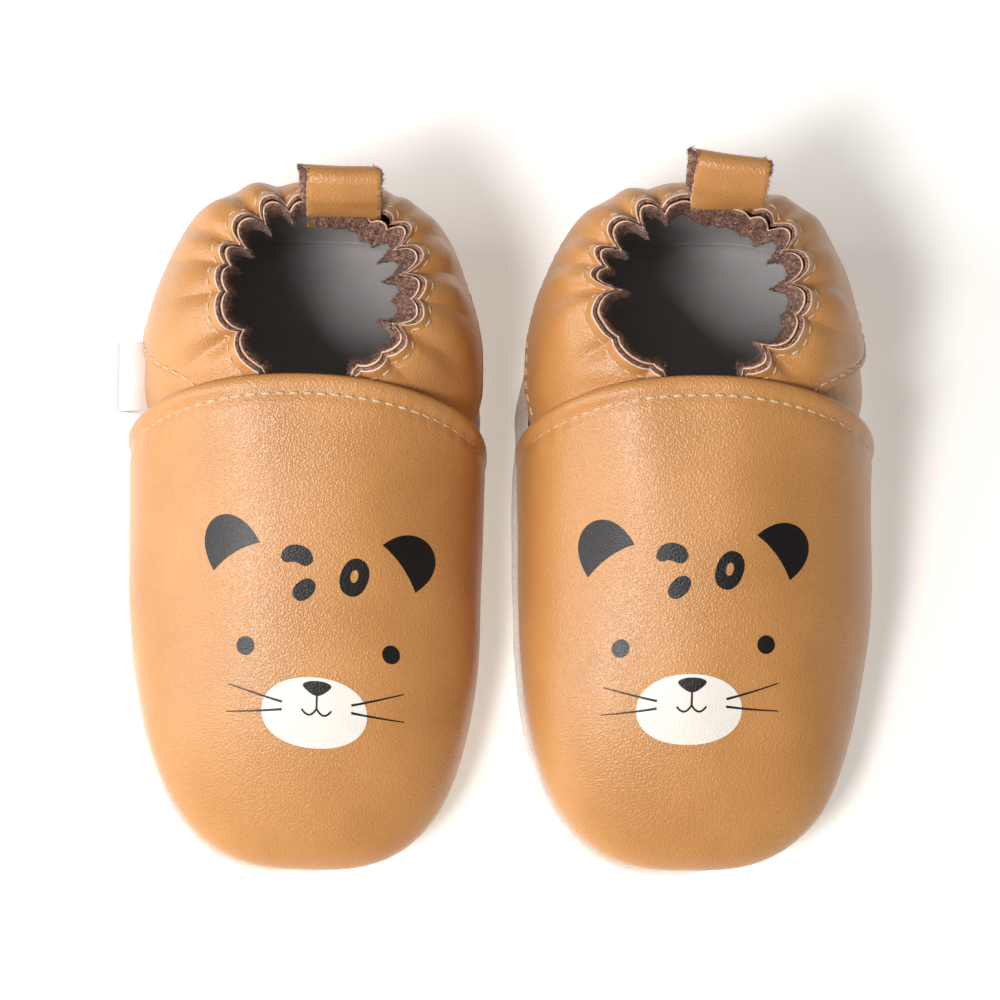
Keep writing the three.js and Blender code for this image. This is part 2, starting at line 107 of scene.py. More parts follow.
def bodyHalfWidth(y, offset):
    full = last["quarterSwell"] * smooth(16, 25, y) * (1 - smooth(32, 50, y))
    return mix(last["halfWidthToe"], last["halfWidthHeel"], smooth(-20, 40, y)) + offset + full


def reachAt(y, offset):
    return np.minimum(1, np.abs(y) / (last["halfLength"] + offset))


def halfWidth(y, offset):
    power = np.where(y < 0, last["toeSquareness"], last["heelSquareness"])
    return bodyHalfWidth(y, offset) * (1 - reachAt(y, offset) ** power) ** (1 / power)


def ridge(y, offset):
    hem = last["instepLine"]
    toInstep = (y + last["halfLength"]) / (hem + last["halfLength"])
    front = mix(last["toeHeight"], last["instepHeight"], toInstep)
    back = mix(last["instepHeight"], last["heelHeight"], smooth(hem, last["openingCentre"], y))
    power = np.where(y < 0, last["toeCapPower"], last["heelCapPower"])
    cap = np.sqrt(np.maximum(0, 1 - reachAt(y, offset) ** power))
    return last["bulgeHeight"] + (np.where(y < hem, front, back) + offset - last["bulgeHeight"]) * cap


def sectionPower(y):
    return mix(last["toeSectionPower"], last["heelSectionPower"], smooth(-10, last["openingCentre"], y))


def heightOver(x, y, offset):
    across = np.minimum(1, np.abs(x) / np.maximum(1e-6, halfWidth(y, offset)))
    power = sectionPower(y)
    rise = ridge(y, offset) - last["bulgeHeight"]
    return last["bulgeHeight"] + rise * (1 - across ** power) ** (1 / power)


def tucked(x, y, z, offset):
    # Below the widest line the wall draws in to the seam.
    below = np.maximum(0, last["bulgeHeight"] - z) / (last["bulgeHeight"] - last["seamHeight"])
    tuck = last["seamTuck"] * below ** 2
    across = x * (1 - tuck / bodyHalfWidth(y, offset))
    return stack(across, y * (1 - tuck / (last["halfLength"] + offset)), z)


def sectionPoint(y, angle, drop, offset):
    power = sectionPower(y)
    across = np.cos(angle)
    x = np.sign(across) * np.abs(across) ** (2 / power) * halfWidth(y, offset)
    up = np.maximum(0, np.sin(angle)) ** (2 / power)
    z = last["bulgeHeight"] + (ridge(y, offset) - last["bulgeHeight"]) * up
    return tucked(x, y, z - drop * (last["bulgeHeight"] - last["seamHeight"] - 0.2), offset)


def wallPoint(hubX, hubY, angle, z, offset):
    # Walks out from a hub to where the grown last falls below z.
    angle, z, offset = np.broadcast_arrays(angle, z, offset)
    near, far = np.zeros(angle.shape), np.full(angle.shape, 90.0)
    level = np.maximum(z, last["bulgeHeight"] + 0.001)
    for _ in range(36):
        middle = (near + far) / 2
        x, y = hubX + middle * np.sin(angle), hubY + middle * np.cos(angle)
        inside = (np.abs(y) < last["halfLength"] + offset) & (heightOver(x, y, offset) >= level)
        near, far = np.where(inside, middle, near), np.where(inside, far, middle)
    return tucked(hubX + near * np.sin(angle), hubY + near * np.cos(angle), z, offset)


def waves(seed, size, points, count=7):
    # Slow uneven swelling, from -1 to 1, with features about this many mm across.
    chance = random.Random(seed)
    total = 0
    for _ in range(count):
        turn, tilt = chance.uniform(0, 2 * math.pi), chance.uniform(-0.7, 0.7)
        pitch = 2 * math.pi / (size * chance.uniform(0.7, 1.7))
        along = points[..., 0] * math.cos(turn) + points[..., 1] * math.sin(turn) + points[..., 2] * tilt
        total = total + np.sin(along * pitch + chance.uniform(0, 6.3))
    return total / count * 1.6


def place(boot, points):
    # Soft booties never lie quite straight: the toe and the heel drift a little to one side.
    c, s = math.cos(boot["angle"]), math.sin(boot["angle"])
    y = points[..., 1]
    x = points[..., 0] + boot["drift"] + boot["toeBend"] * smooth(5, -70, y)
    x = x + boot["heelBend"] * smooth(0, 50, y)
    turned = np.stack([x * c - y * s, x * s + y * c, points[..., 2]], -1)
    return turned * mm + boot["origin"]


def gridFaces(rows, columns, closed=False, start=0):
    r = np.arange(rows - 1)[:, None] * columns
    c = np.arange(columns if closed else columns - 1)[None]
    n = (c + 1) % columns
    return (start + np.stack([r + c, r + n, r + n + columns, r + c + columns], -1)).reshape(-1, 4).tolist()


def capEnds(rows, columns):
    return [list(range(columns)), list(range((rows - 1) * columns, rows * columns))]


def between(a, b, c, d, t):
    # Smooth curve from b to c, with a and d as the neighbours.
    return 0.5 * (2 * b + (c - a) * t + (2 * a - 5 * b + 4 * c - d) * t * t
                  + (3 * b - a - 3 * c + d) * t ** 3)


def makePiece(name, points, faces, materials, chosen=None, tidy=True, sharp=None):
    mesh = bpy.data.meshes.new(name)
    mesh.from_pydata(np.asarray(points).reshape(-1, 3).tolist(), [], faces)
    for material in materials:
        mesh.materials.append(material)
    if chosen is not None:
        mesh.polygons.foreach_set("material_index", np.asarray(chosen, int))
    if tidy:
        b = bmesh.new()
        b.from_mesh(mesh)
        bmesh.ops.remove_doubles(b, verts=b.verts, dist=2e-6)
        bmesh.ops.dissolve_degenerate(b, edges=b.edges, dist=1e-6)
        bmesh.ops.recalc_face_normals(b, faces=b.faces)
        b.to_mesh(mesh)
        b.free()
    mesh.polygons.foreach_set("use_smooth", [True] * len(mesh.polygons))
    if sharp is not None:
        mesh.set_sharp_from_angle(angle=math.radians(sharp))
    piece = bpy.data.objects.new(name, mesh)
    bpy.context.scene.collection.objects.link(piece)
    return piece


def resample(points, count, power=1.0):
    # Even steps along each row of points.
    step = np.linalg.norm(np.diff(points, axis=1), axis=-1)
    length = np.concatenate([np.zeros((len(points), 1)), np.cumsum(step, 1)], 1)
    out = np.empty((len(points), count, 3))
    for i in range(len(points)):
        at = length[i, -1] * np.linspace(0, 1, count) ** power
        for k in range(3):
            out[i, :, k] = np.interp(at, length[i], points[i, :, k])
    return out


def paint(text):
    parts = [int(text[i:i + 2], 16) / 255 for i in (0, 2, 4)]
    return tuple(p / 12.92 if p <= 0.04045 else ((p + 0.055) / 1.055) ** 2.4 for p in parts) + (1,)


def addNode(tree, kind, inputs=None, **settings):
    made = tree.nodes.new(kind)
    for key, value in settings.items():
        setattr(made, key, value)
    for key, value in (inputs or {}).items():
        if hasattr(value, "links"):
            tree.links.new(value, made.inputs[key])
        else:
            made.inputs[key].default_value = value
    return made


def blendColour(tree, factor, a, b, kind="MIX"):
    made = tree.nodes.new("ShaderNodeMix")
    made.data_type, made.blend_type = "RGBA", kind
    for index, value in ((0, factor), (6, a), (7, b)):
        if hasattr(value, "links"):
            tree.links.new(value, made.inputs[index])
        else:
            made.inputs[index].default_value = value
    return made.outputs[2]


def scaledMath(tree, kind, a, b):
    return addNode(tree, "ShaderNodeMath", {0: a, 1: b}, operation=kind).outputs[0]


def newGroup(name, inputs, outputs):
    group = bpy.data.node_groups.new(name, "ShaderNodeTree")
    for label, kind, value in inputs:
        socket = group.interface.new_socket(label, in_out="INPUT", socket_type=kind)
        socket.default_value = value
    for label, kind in outputs:
        group.interface.new_socket(label, in_out="OUTPUT", socket_type=kind)
    return group, group.nodes.new("NodeGroupInput"), group.nodes.new("NodeGroupOutput")


# Fine pebbled grain with soft crinkles, for the leather and the ink printed on it.
def buildGrain():
    group, source, sink = newGroup("grain", [
        ("Cell size", "NodeSocketFloat", 3000.0), ("Crinkle", "NodeSocketFloat", 0.35)],
        [("Height", "NodeSocketFloat"), ("Tone", "NodeSocketFloat")])
    where = addNode(group, "ShaderNodeTexCoord").outputs["Object"]
    bend = addNode(group, "ShaderNodeTexNoise", {"Vector": where, "Scale": 900.0, "Detail": 2.0})
    moved = addNode(group, "ShaderNodeMixRGB", {0: 0.00012, 1: where, 2: bend.outputs["Color"]}).outputs[0]
    cells = addNode(group, "ShaderNodeTexVoronoi", {"Vector": moved, "Scale": source.outputs["Cell size"]},
                    feature="SMOOTH_F1")
    crinkle = addNode(group, "ShaderNodeTexNoise", {"Vector": where, "Scale": 3200.0, "Detail": 2.0,
                                                    "Roughness": 0.6})
    folded = scaledMath(group, "MULTIPLY", crinkle.outputs["Fac"], source.outputs["Crinkle"])
    height = scaledMath(group, "ADD", cells.outputs["Distance"], folded)
    tone = addNode(group, "ShaderNodeTexNoise", {"Vector": where, "Scale": 60.0, "Detail": 4.0})
    group.links.new(height, sink.inputs["Height"])
    group.links.new(tone.outputs["Fac"], sink.inputs["Tone"])
    return group


# Short matted fibres, for suede and the flesh side.
def buildFuzz():
    group, source, sink = newGroup("fuzz", [("Fibre scale", "NodeSocketFloat", 1400.0)],
                                   [("Height", "NodeSocketFloat"), ("Speckle", "NodeSocketFloat"),
                                    ("Patch", "NodeSocketFloat")])
    where = addNode(group, "ShaderNodeTexCoord").outputs["Object"]
    fine = addNode(group, "ShaderNodeTexNoise", {"Vector": where, "Scale": source.outputs["Fibre scale"],
                                                 "Detail": 5.0, "Roughness": 0.75, "Distortion": 0.6})
    patch = addNode(group, "ShaderNodeTexNoise", {"Vector": where, "Scale": 220.0, "Detail": 3.0})
    speckle = addNode(group, "ShaderNodeMapRange", {0: fine.outputs["Fac"], 1: 0.42, 2: 0.68})
    group.links.new(fine.outputs["Fac"], sink.inputs["Height"])
    group.links.new(speckle.outputs[0], sink.inputs["Speckle"])
    group.links.new(patch.outputs["Fac"], sink.inputs["Patch"])
    return group


# Crossed yarns of a plain weave.
def buildWeave():
    group, source, sink = newGroup("weave", [("Yarns", "NodeSocketFloat", 300.0)],
                                   [("Height", "NodeSocketFloat"), ("Tone", "NodeSocketFloat")])
    where = addNode(group, "ShaderNodeTexCoord").outputs["Object"]
    yarns = []
    for direction in ("X", "Y"):
        wave = addNode(group, "ShaderNodeTexWave", {"Vector": where, "Scale": source.outputs["Yarns"],
                                                    "Distortion": 0.6, "Detail": 1.0},
                       wave_type="BANDS", bands_direction=direction)
        yarns.append(wave.outputs["Fac"])
    height = scaledMath(group, "MULTIPLY", yarns[0], yarns[1])
    tone = addNode(group, "ShaderNodeTexNoise", {"Vector": where, "Scale": 240.0, "Detail": 4.0})
    group.links.new(height, sink.inputs["Height"])
    group.links.new(tone.outputs["Fac"], sink.inputs["Tone"])
    return group


grainGroup, fuzzGroup, weaveGroup = buildGrain(), buildFuzz(), buildWeave()


def startMaterial(name, **fixed):
    material = bpy.data.materials.new(name)
    material.use_nodes = True
    tree = material.node_tree
    shader = tree.nodes["Principled BSDF"]
    for key, value in fixed.items():
        shader.inputs[key.replace("_", " ")].default_value = value
    return material, tree, shader


def finishMaterial(tree, shader, colour, height, depth, roughness=None):
    tree.links.new(colour, shader.inputs["Base Color"])
    if roughness is not None:
        tree.links.new(roughness, shader.inputs["Roughness"])
    bump = addNode(tree, "ShaderNodeBump", {"Height": height, "Strength": 1.0, "Distance": depth})
    tree.links.new(bump.outputs["Normal"], shader.inputs["Normal"])


def grainedMaterial(name, light, dark, roughness, depth, cells=3000.0, gloss=0.5):
    material, tree, shader = startMaterial(name, Specular_IOR_Level=gloss, Coat_Weight=0.14,
                                           Coat_Roughness=0.32)
    grain = addNode(tree, "ShaderNodeGroup", node_tree=grainGroup)
    grain.inputs["Cell size"].default_value = cells
    shade = addNode(tree, "ShaderNodeMapRange", {0: grain.outputs["Tone"], 1: 0.3, 2: 0.7})
    colour = blendColour(tree, shade.outputs[0], paint(dark), paint(light))
    # The colour follows the grain height: painted shade in the grain's hollows and a slight painted highlight
    # on its ridges.
    pitShade = addNode(tree, "ShaderNodeMapRange",
                    {0: grain.outputs["Height"], 1: 0.1, 2: 0.7, 3: 0.94, 4: 1.04})
    colour = addNode(tree, "ShaderNodeVectorMath", {0: colour, 1: pitShade.outputs[0]}, operation="MULTIPLY")
    rough = addNode(tree, "ShaderNodeMapRange",
                    {0: grain.outputs["Tone"], 1: 0.3, 2: 0.7, 3: roughness - 0.04, 4: roughness + 0.05})
    finishMaterial(tree, shader, colour.outputs[0], grain.outputs["Height"], depth, rough.outputs[0])
    return material


def fuzzyMaterial(name, light, dark, tip, depth, scale=1400.0, sheen=0.3):
    material, tree, shader = startMaterial(name, Roughness=0.95, Sheen_Weight=sheen, Specular_IOR_Level=0.2)
    fuzz = addNode(tree, "ShaderNodeGroup", node_tree=fuzzGroup)
    fuzz.inputs["Fibre scale"].default_value = scale
    base = blendColour(tree, fuzz.outputs["Patch"], paint(dark), paint(light))
    colour = blendColour(tree, fuzz.outputs["Speckle"], base, paint(tip))
    finishMaterial(tree, shader, colour, fuzz.outputs["Height"], depth)
    return material


def wovenMaterial(name, light, dark, depth, yarns, roughness=0.9):
    material, tree, shader = startMaterial(name, Roughness=roughness, Sheen_Weight=0.15)
    weave = addNode(tree, "ShaderNodeGroup", node_tree=weaveGroup)
    weave.inputs["Yarns"].default_value = yarns
    base = blendColour(tree, weave.outputs["Tone"], paint(dark), paint(light))
    # The colour follows the weave height: painted shade between the yarns and a slight painted highlight on
    # the raised crossings.
    lift = addNode(tree, "ShaderNodeMapRange",
                   {0: weave.outputs["Height"], 1: 0.0, 2: 1.0, 3: 0.88, 4: 1.05})
    colour = addNode(tree, "ShaderNodeVectorMath", {0: base, 1: lift.outputs[0]}, operation="MULTIPLY")
    finishMaterial(tree, shader, colour.outputs[0], weave.outputs["Height"], depth)
    return material


tanLeather = grainedMaterial("tan_leather", "c78c50", "ba8047", 0.35, 0.00011)
blackInk = grainedMaterial("black_ink", "1a1513", "120e0c", 0.40, 0.00007, gloss=0.3)
whiteInk = grainedMaterial("white_ink", "ece5dc", "e4dcd2", 0.5, 0.00005, gloss=0.3)
brownFlesh = fuzzyMaterial("brown_flesh", "86583f", "4f3022", "cf9c86", 0.0006, 1500.0, 0.2)
cutEdge = fuzzyMaterial("cut_edge", "efd5c4", "d8b39e", "f8e8de", 0.0002)
whiteSuede = fuzzyMaterial("white_suede", "f2ece3", "e4dbcf", "fbf7f1", 0.00010, 1800.0)
greyLining = wovenMaterial("grey_lining", "bbb6b5", "aea9a8", 0.00003, 1300.0)
threadCotton = wovenMaterial("thread_cotton", "e2caa6", "c9ac84", 0.00008, 700.0, 0.7)
knitElastic = wovenMaterial("knit_elastic", "efece6", "d9d5cd", 0.0002, 180.0)
labelTape = wovenMaterial("label_tape", "f6f3f0", "e9e5e1", 0.00003, 1100.0, 0.4)
whiteFoam = fuzzyMaterial("white_foam", "ece8de", "d8d3c6", "f7f4ec", 0.0004, 700.0, 0.0)
print("materials ready")

vampSpec = {"outer": 4.6, "inner": 3.6, "turned": 2.6, "hemBow": 4.0, "hemWidth": 5.0, "stitchInset": 3.7,
            "foldRadius": 1.0, "swell": 0.4, "groove": 0.34, "pitch": 2.5}


def hemEdge(x):
    return last["hemCentre"] - vampSpec["hemBow"] * (x / last["halfWidthToe"]) ** 2


def vampSwell(boot, p):
    # The row of stitches sinks in, the hem puffs up behind it and the leather in front puckers a little.
    behind = p[..., 1] - (hemEdge(p[..., 0]) - vampSpec["stitchInset"])
    groove = -vampSpec["groove"] * np.exp(-(behind / 0.8) ** 2)
    puff = 0.3 * np.exp(-((behind - 2.1) / 1.1) ** 2)
    pucker = 0.09 * np.sin(2 * np.pi * p[..., 0] / vampSpec["pitch"]) * np.exp(-(behind / 1.9) ** 2)
    calm = smooth(7, 15, p[..., 2]) * smooth(1.4, 10, p[..., 1] + last["halfLength"] + vampSpec["outer"])
    return (groove + puff + pucker) * calm + vampSpec["swell"] * waves(boot["seed"], 26, p) * calm


def evenStations(offset, end, count):
    a = np.linspace(0, np.pi / 2, 500)
    power = 2 / last["toeSquareness"]
    y = np.append(-(last["halfLength"] + offset) * np.cos(a) ** power, end)
    x = np.append((last["halfWidthToe"] + offset) * np.sin(a) ** power, last["halfWidthToe"] + offset)
    length = np.append(0, np.cumsum(np.hypot(np.diff(x), np.diff(y))))
    return np.interp(np.linspace(0, length[-1], count), length, y)


def buildVamp(side, boot):
    arch, wall, outside, inside = 112, 7, 132, 40
    angle = np.concatenate([np.zeros(wall), np.linspace(0, np.pi, arch), np.full(wall, np.pi)])[:, None]
    drop = np.concatenate([np.linspace(1, 1 / wall, wall), np.zeros(arch),
                           np.linspace(1 / wall, 1, wall)])[:, None]
    end = np.full(angle.shape, last["hemCentre"])
    for _ in range(4):
        end = hemEdge(sectionPoint(end, angle, drop, vampSpec["outer"])[..., 0])
    fold = vampSpec["foldRadius"]

    def run(offset, stop, count):
        tip = -(last["halfLength"] + offset)
        stations = evenStations(offset, last["hemCentre"], count)[None]
        return tip + (stations - tip) * (stop - tip) / (last["hemCentre"] - tip)

    curl = np.linspace(np.pi / 2, -np.pi / 2, 9)[None]
    back = np.linspace(0, 1, 6)[None, 1:]
    ys = [run(vampSpec["outer"], end - fold, outside), end - fold + fold * np.cos(curl[:, 1:]),
          end - fold - back * (vampSpec["hemWidth"] - fold),
          run(vampSpec["inner"], end - vampSpec["hemWidth"], inside)[:, ::-1]]
    offsets = [np.full(ys[0].shape, vampSpec["outer"]),
               vampSpec["inner"] + fold * np.sin(curl[:, 1:]) + 0 * end,
               np.full(ys[2].shape, vampSpec["turned"]), np.full(ys[3].shape, vampSpec["inner"])]
    y, offset = np.concatenate(ys, 1), np.concatenate(offsets, 1)
    shown = np.concatenate([np.ones(outside), np.linspace(1, 0, 8), np.zeros(5 + inside)])[None]
    rough = sectionPoint(y, angle, drop, offset)
    points = sectionPoint(y, angle, drop, offset + shown * vampSwell(boot, rough))
    rows, columns = y.shape
    faces = gridFaces(rows, columns)
    faces += capEnds(rows, columns)
    piece = makePiece(side + "_vamp_leather", place(boot, points), faces, [tanLeather], sharp=60)
    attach(piece, side + "_bootie")
    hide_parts(side + "_vamp")


def onVamp(boot, x, y, lift):
    rough = stack(x, y, heightOver(x, y, vampSpec["outer"]))
    offset = vampSpec["outer"] + vampSwell(boot, rough) + lift
    return stack(x, y, heightOver(x, y, offset))


def stitchRow(name, paths, pitch, length, radius, sink):
    # Each path is (points on the leather, points 1 mm above them), in metres.
    ring, along = 8, 9
    points, faces = [], []
    around = np.linspace(0, 2 * np.pi, ring, endpoint=False)
    for path, above in paths:
        step = np.append(0, np.cumsum(np.linalg.norm(np.diff(path, axis=0), axis=1)))
        count = int(step[-1] / (pitch * mm))
        for k in range(count):
            middle = (k + 0.5) * step[-1] / count
            at = middle + np.linspace(-0.5, 0.5, along) * length * mm
            line = np.stack([np.interp(at, step, path[:, i]) for i in range(3)], -1)
            up = np.array([np.interp(middle, step, (above - path)[:, i]) for i in range(3)])
            up /= np.linalg.norm(up)
            forward = line[-1] - line[0]
            forward /= np.linalg.norm(forward)
            across = np.cross(forward, up)
            t = np.linspace(-1, 1, along)
            line = line + up * ((0.30 * radius - sink * t ** 4) * mm)[:, None]
            size = radius * mm * np.sqrt(1.02 - t ** 6)
            shape = line[:, None] + size[:, None, None] * (np.cos(around)[:, None] * across
                                                            + np.sin(around)[:, None] * up)
            start = len(points) * ring * along
            points.append(shape.reshape(-1, 3))
            faces += gridFaces(along, ring, closed=True, start=start)
            faces += [list(range(start, start + ring)),
                      list(range(start + ring * (along - 1), start + ring * along))]
    return makePiece(name, np.concatenate(points), faces, [threadCotton], tidy=False)


def addStitches(side, label, node, paths, pitch=2.5, length=2.05, radius=0.27, sink=0.4):
    boot = boots[side]
    placed = [(place(boot, a), place(boot, b)) for a, b in paths]
    piece = stitchRow(side + "_" + label, placed, pitch, length, radius, sink)
    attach(piece, side + "_bootie")
    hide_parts(side + "_" + node)


def buildHemStitches(side, boot):
    x = np.linspace(-31.4, 31.4, 300)
    y = hemEdge(x) - vampSpec["stitchInset"]
    onTop = np.abs(x) < halfWidth(y, vampSpec["outer"]) - 0.3
    x, y = x[onTop], y[onTop]
    addStitches(side, "hem_stitches", "hem_thread", [(onVamp(boot, x, y, 0), onVamp(boot, x, y, 1))])


# Millimetres on the vamp: x across, y up the foot, measured from the middle of the eyes.
face = {
    "ears": [((-19.4, 12.5), (-11.2, 17.6), 7.9), ((10.9, 19.1), (17.2, 11.7), 7.4)],
    "bean": (-4.4, 15.8), "oval": (-2.9, 10.0), "ring": (6.1, 12.9),
    "eyes": [(-13.2, -0.3), (13.2, 0.3)], "eyeRadius": 1.62,
    "muzzle": (-0.4, -11.1, 9.6, 6.1), "nose": (0.0, -6.9), "mouth": (0.0, -11.0),
    "whiskers": [((-6.3, -9.6), (-16.1, -7.0)), ((-6.3, -10.9), (-16.4, -11.8)),
                 ((6.3, -9.3), (15.7, -6.3)), ((6.3, -10.6), (15.9, -11.1))],
}


def shapeOval(cx, cy, rx, ry, turn=0, count=48, power=2.0):
    a = np.linspace(0, 2 * np.pi, count, endpoint=False)
    x = rx * np.sign(np.cos(a)) * np.abs(np.cos(a)) ** (2 / power)
    y = ry * np.sign(np.sin(a)) * np.abs(np.sin(a)) ** (2 / power)
    t = math.radians(turn)
    return np.stack([cx + x * math.cos(t) - y * math.sin(t), cy + x * math.sin(t) + y * math.cos(t)], -1)


def closedCurve(corners, count=64):
    # Smooth closed line through given corners.
    p = np.array(corners, float)
    n = len(p)
    out = []
    for i in range(n):
        a, b, c, d = p[i - 1], p[i], p[(i + 1) % n], p[(i + 2) % n]
        for t in np.linspace(0, 1, count // n, endpoint=False):
            out.append(between(a, b, c, d, t))
    return np.array(out)


def earShape(foot, top, height, count=40):
    # A tall half-round standing on a slightly hollow base line.
    foot, top = np.array(foot), np.array(top)
    middle, half = (foot + top) / 2, (top - foot) / 2
    up = np.array([-half[1], half[0]]) / np.hypot(*half) * height
    a = np.linspace(math.pi, 0, count)[:, None]
    arc = middle + half * np.cos(a) + up * np.sin(a) ** 0.85
    t = np.linspace(1, -1, 22)[1:-1, None]
    return np.concatenate([arc, middle + half * t + up * 0.10 * (1 - t * t)])


def buildPrint(side, boot, midX, midY, tilt):
    points, faces, chosen = [], [], []

    def land(flat, lift):
        t = math.radians(tilt)
        x = midX + flat[..., 0] * math.cos(t) + flat[..., 1] * math.sin(t)
        y = midY - flat[..., 0] * math.sin(t) + flat[..., 1] * math.cos(t)
        return onVamp(boot, x, y, lift)

    def fill(outline, lift, ink, hole=None):
        middle = outline.mean(0) if hole is None else hole
        rings = np.linspace(0, 1, 9)[:, None, None]
        flat = middle + (outline - middle) * rings
        start = sum(len(p) for p in points)
        points.append(land(flat, lift).reshape(-1, 3))
        made = gridFaces(9, len(outline), closed=True, start=start)
        faces.extend(made)
        chosen.extend([ink] * len(made))

    def stroke(line, width, lift, ink):
        line = np.array(line, float)
        along = np.gradient(line, axis=0)
        along /= np.linalg.norm(along, axis=1)[:, None]
        across = np.stack([-along[:, 1], along[:, 0]], -1)
        flat = np.stack([line - across * width[:, None] / 2, line + across * width[:, None] / 2], 1)
        start = sum(len(p) for p in points)
        points.append(land(flat, lift).reshape(-1, 3))
        made = gridFaces(len(line), 2, start=start)
        faces.extend(made)
        chosen.extend([ink] * len(made))

    def curve(*corners):
        p = np.array(corners, float)
        t = np.linspace(0, 1, 24)[:, None]
        return (1 - t) ** 2 * p[0] + 2 * t * (1 - t) * p[1] + t * t * p[2]

    black, white, low, high = 0, 1, 0.05, 0.09
    for foot, top, height in face["ears"]:
        fill(earShape(foot, top, height), low, black)
    bx, by = face["bean"]
    fill(closedCurve([(bx - 2.9, by - 0.4), (bx - 2.1, by + 1.3), (bx, by + 1.9), (bx + 2.2, by + 1.1),
                      (bx + 2.9, by - 0.7), (bx + 1.6, by - 1.7), (bx - 0.4, by - 1.1),
                      (bx - 2.0, by - 1.3)]), low, black)
    fill(shapeOval(*face["oval"], 2.3, 1.6, 42, power=2.2), low, black)
    gx, gy = face["ring"]
    outer, inner = shapeOval(gx, gy, 2.5, 3.4, -20, power=2.2), shapeOval(gx, gy + 0.2, 0.7, 1.15, -12)
    fill(outer, low, black, hole=inner)
    for ex, ey in face["eyes"]:
        fill(shapeOval(ex, ey, face["eyeRadius"], face["eyeRadius"]), low, black)
    mx, my, mw, mh = face["muzzle"]
    fill(shapeOval(mx, my, mw, mh, power=2.15, count=72), low, white)
    nx, ny = face["nose"]
    fill(closedCurve([(nx - 2.6, ny + 0.4), (nx - 1.3, ny + 1.2), (nx + 1.3, ny + 1.2),
                      (nx + 2.6, ny + 0.4), (nx + 0.8, ny - 1.1), (nx - 0.8, ny - 1.1)]), high, black)
    ox, oy = face["mouth"]
    even = np.full(24, 0.36)
    stroke(curve((nx, ny - 0.8), (nx, ny - 2.0), (ox, oy + 0.6)), even, high, black)
    for way in (-1, 1):
        lip = curve((ox, oy + 0.6), (ox + way * 1.3, oy - 1.5), (ox + way * 2.7, oy + 0.4))
        stroke(lip, even, high, black)
    taper = mix(0.44, 0.18, np.linspace(0, 1, 24))
    for near, far in face["whiskers"]:
        bend = (np.array(near) + far) / 2 + (0, -0.25)
        stroke(curve(near, bend, far), taper, high, black)
    piece = makePiece(side + "_face_print", place(boot, np.concatenate(points)), faces,
                      [blackInk, whiteInk], chosen, tidy=False)
    b = bmesh.new()
    b.from_mesh(piece.data)
    bmesh.ops.dissolve_degenerate(b, edges=b.edges, dist=1e-7)
    for f in b.faces:
        if f.normal.z < 0:
            f.normal_flip()
    b.to_mesh(piece.data)
    b.free()
    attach(piece, side + "_bootie")


panelSpec = {"outer": 1.0, "hubY": 25.0, "sweep": 121, "seam": 24.0, "rise": 17.0, "overlap": 4.5,
             "around": 190, "up": 26}


def seamHeightAt(x, y, outerSide):
    # The cuff's lower edge: level round the heel, climbing to the hem on the outer side.
    climb = panelSpec["rise"] * (1 - smooth(19, 36, y)) * smooth(2, 14, x * outerSide)
    return panelSpec["seam"] + climb


def buildHeelPanel(side, boot):
    around, up = panelSpec["around"], panelSpec["up"]
    angle = np.radians(np.linspace(-panelSpec["sweep"], panelSpec["sweep"], around))[:, None]
    t = np.linspace(0, 1, up)[None]
    z = np.full((around, up), 20.0)
    for _ in range(4):
        p = wallPoint(0, panelSpec["hubY"], angle, z, panelSpec["outer"])
        top = seamHeightAt(p[:, -1:, 0], p[:, -1:, 1], boot["outer"]) + panelSpec["overlap"]
        z = mix(last["seamHeight"] + 0.3, np.minimum(top, 42.5), t)
    swell = 0.28 * waves(boot["seed"] + 3, 17, p) * np.sin(np.pi * t)
    outer = wallPoint(0, panelSpec["hubY"], angle, z, panelSpec["outer"] + swell)
    inner = wallPoint(0, panelSpec["hubY"], angle, z[:, ::-1], panelSpec["outer"] - leather)
    points = np.concatenate([outer, inner], 1)
    rows, columns = points.shape[:2]
    faces = gridFaces(rows, columns, closed=True)
    faces += capEnds(rows, columns)
    column = np.tile(np.arange(columns), rows - 1)
    chosen = np.append(np.where(column < up, 0, 1), [0, 0])
    piece = makePiece(side + "_heel_leather", place(boot, points), faces, [tanLeather, greyLining],
                      chosen, sharp=50)
    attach(piece, side + "_bootie")
    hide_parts(side + "_heel_panel")


cuffSpec = {"outer": 2.3, "sweep": 165, "steps": 560, "rows": 54, "front": 7.0,
            "halfLength": 16.9, "squareness": 2.6, "puff": 0.8, "foldLength": 11.5,
            "lip": 1.0, "lipWidth": 2.4, "stitchInset": 1.4, "seamInset": 1.6, "loopDip": 1.0}


def openingRadius(boot, angle):
    # Broad and squarish at the heel, straight sides in to the mouth under the hem.
    a, b, power = boot["openWidth"], cuffSpec["halfLength"], cuffSpec["squareness"]
    mouth, tail = boot["mouth"], boot["mouth"] - 1.5
    turn = np.radians(np.arange(0, 103, 3))
    oval = ((np.sin(turn) / a) ** power + (np.abs(np.cos(turn)) / b) ** power) ** (-1 / power)
    sides = []
    for way in (-1, 1):
        shift = way * boot["mouthShift"]
        corners = [(mouth + 3.6 + 0.6 * shift, -14.2), (mouth + 1.4 + 0.7 * shift, -18.4),
                   (tail + 1.2 + 0.7 * shift, -23.5), (tail + 0.6 + 0.7 * shift, -30.5)]
        turns = np.append(turn, [math.atan2(x, y) for x, y in corners])
        radii = np.append(oval, [math.hypot(x, y) for x, y in corners])
        order = np.argsort(turns)
        sides.append(np.interp(np.abs(angle), turns[order], radii[order]))
    return np.where(angle < 0, sides[0], sides[1])


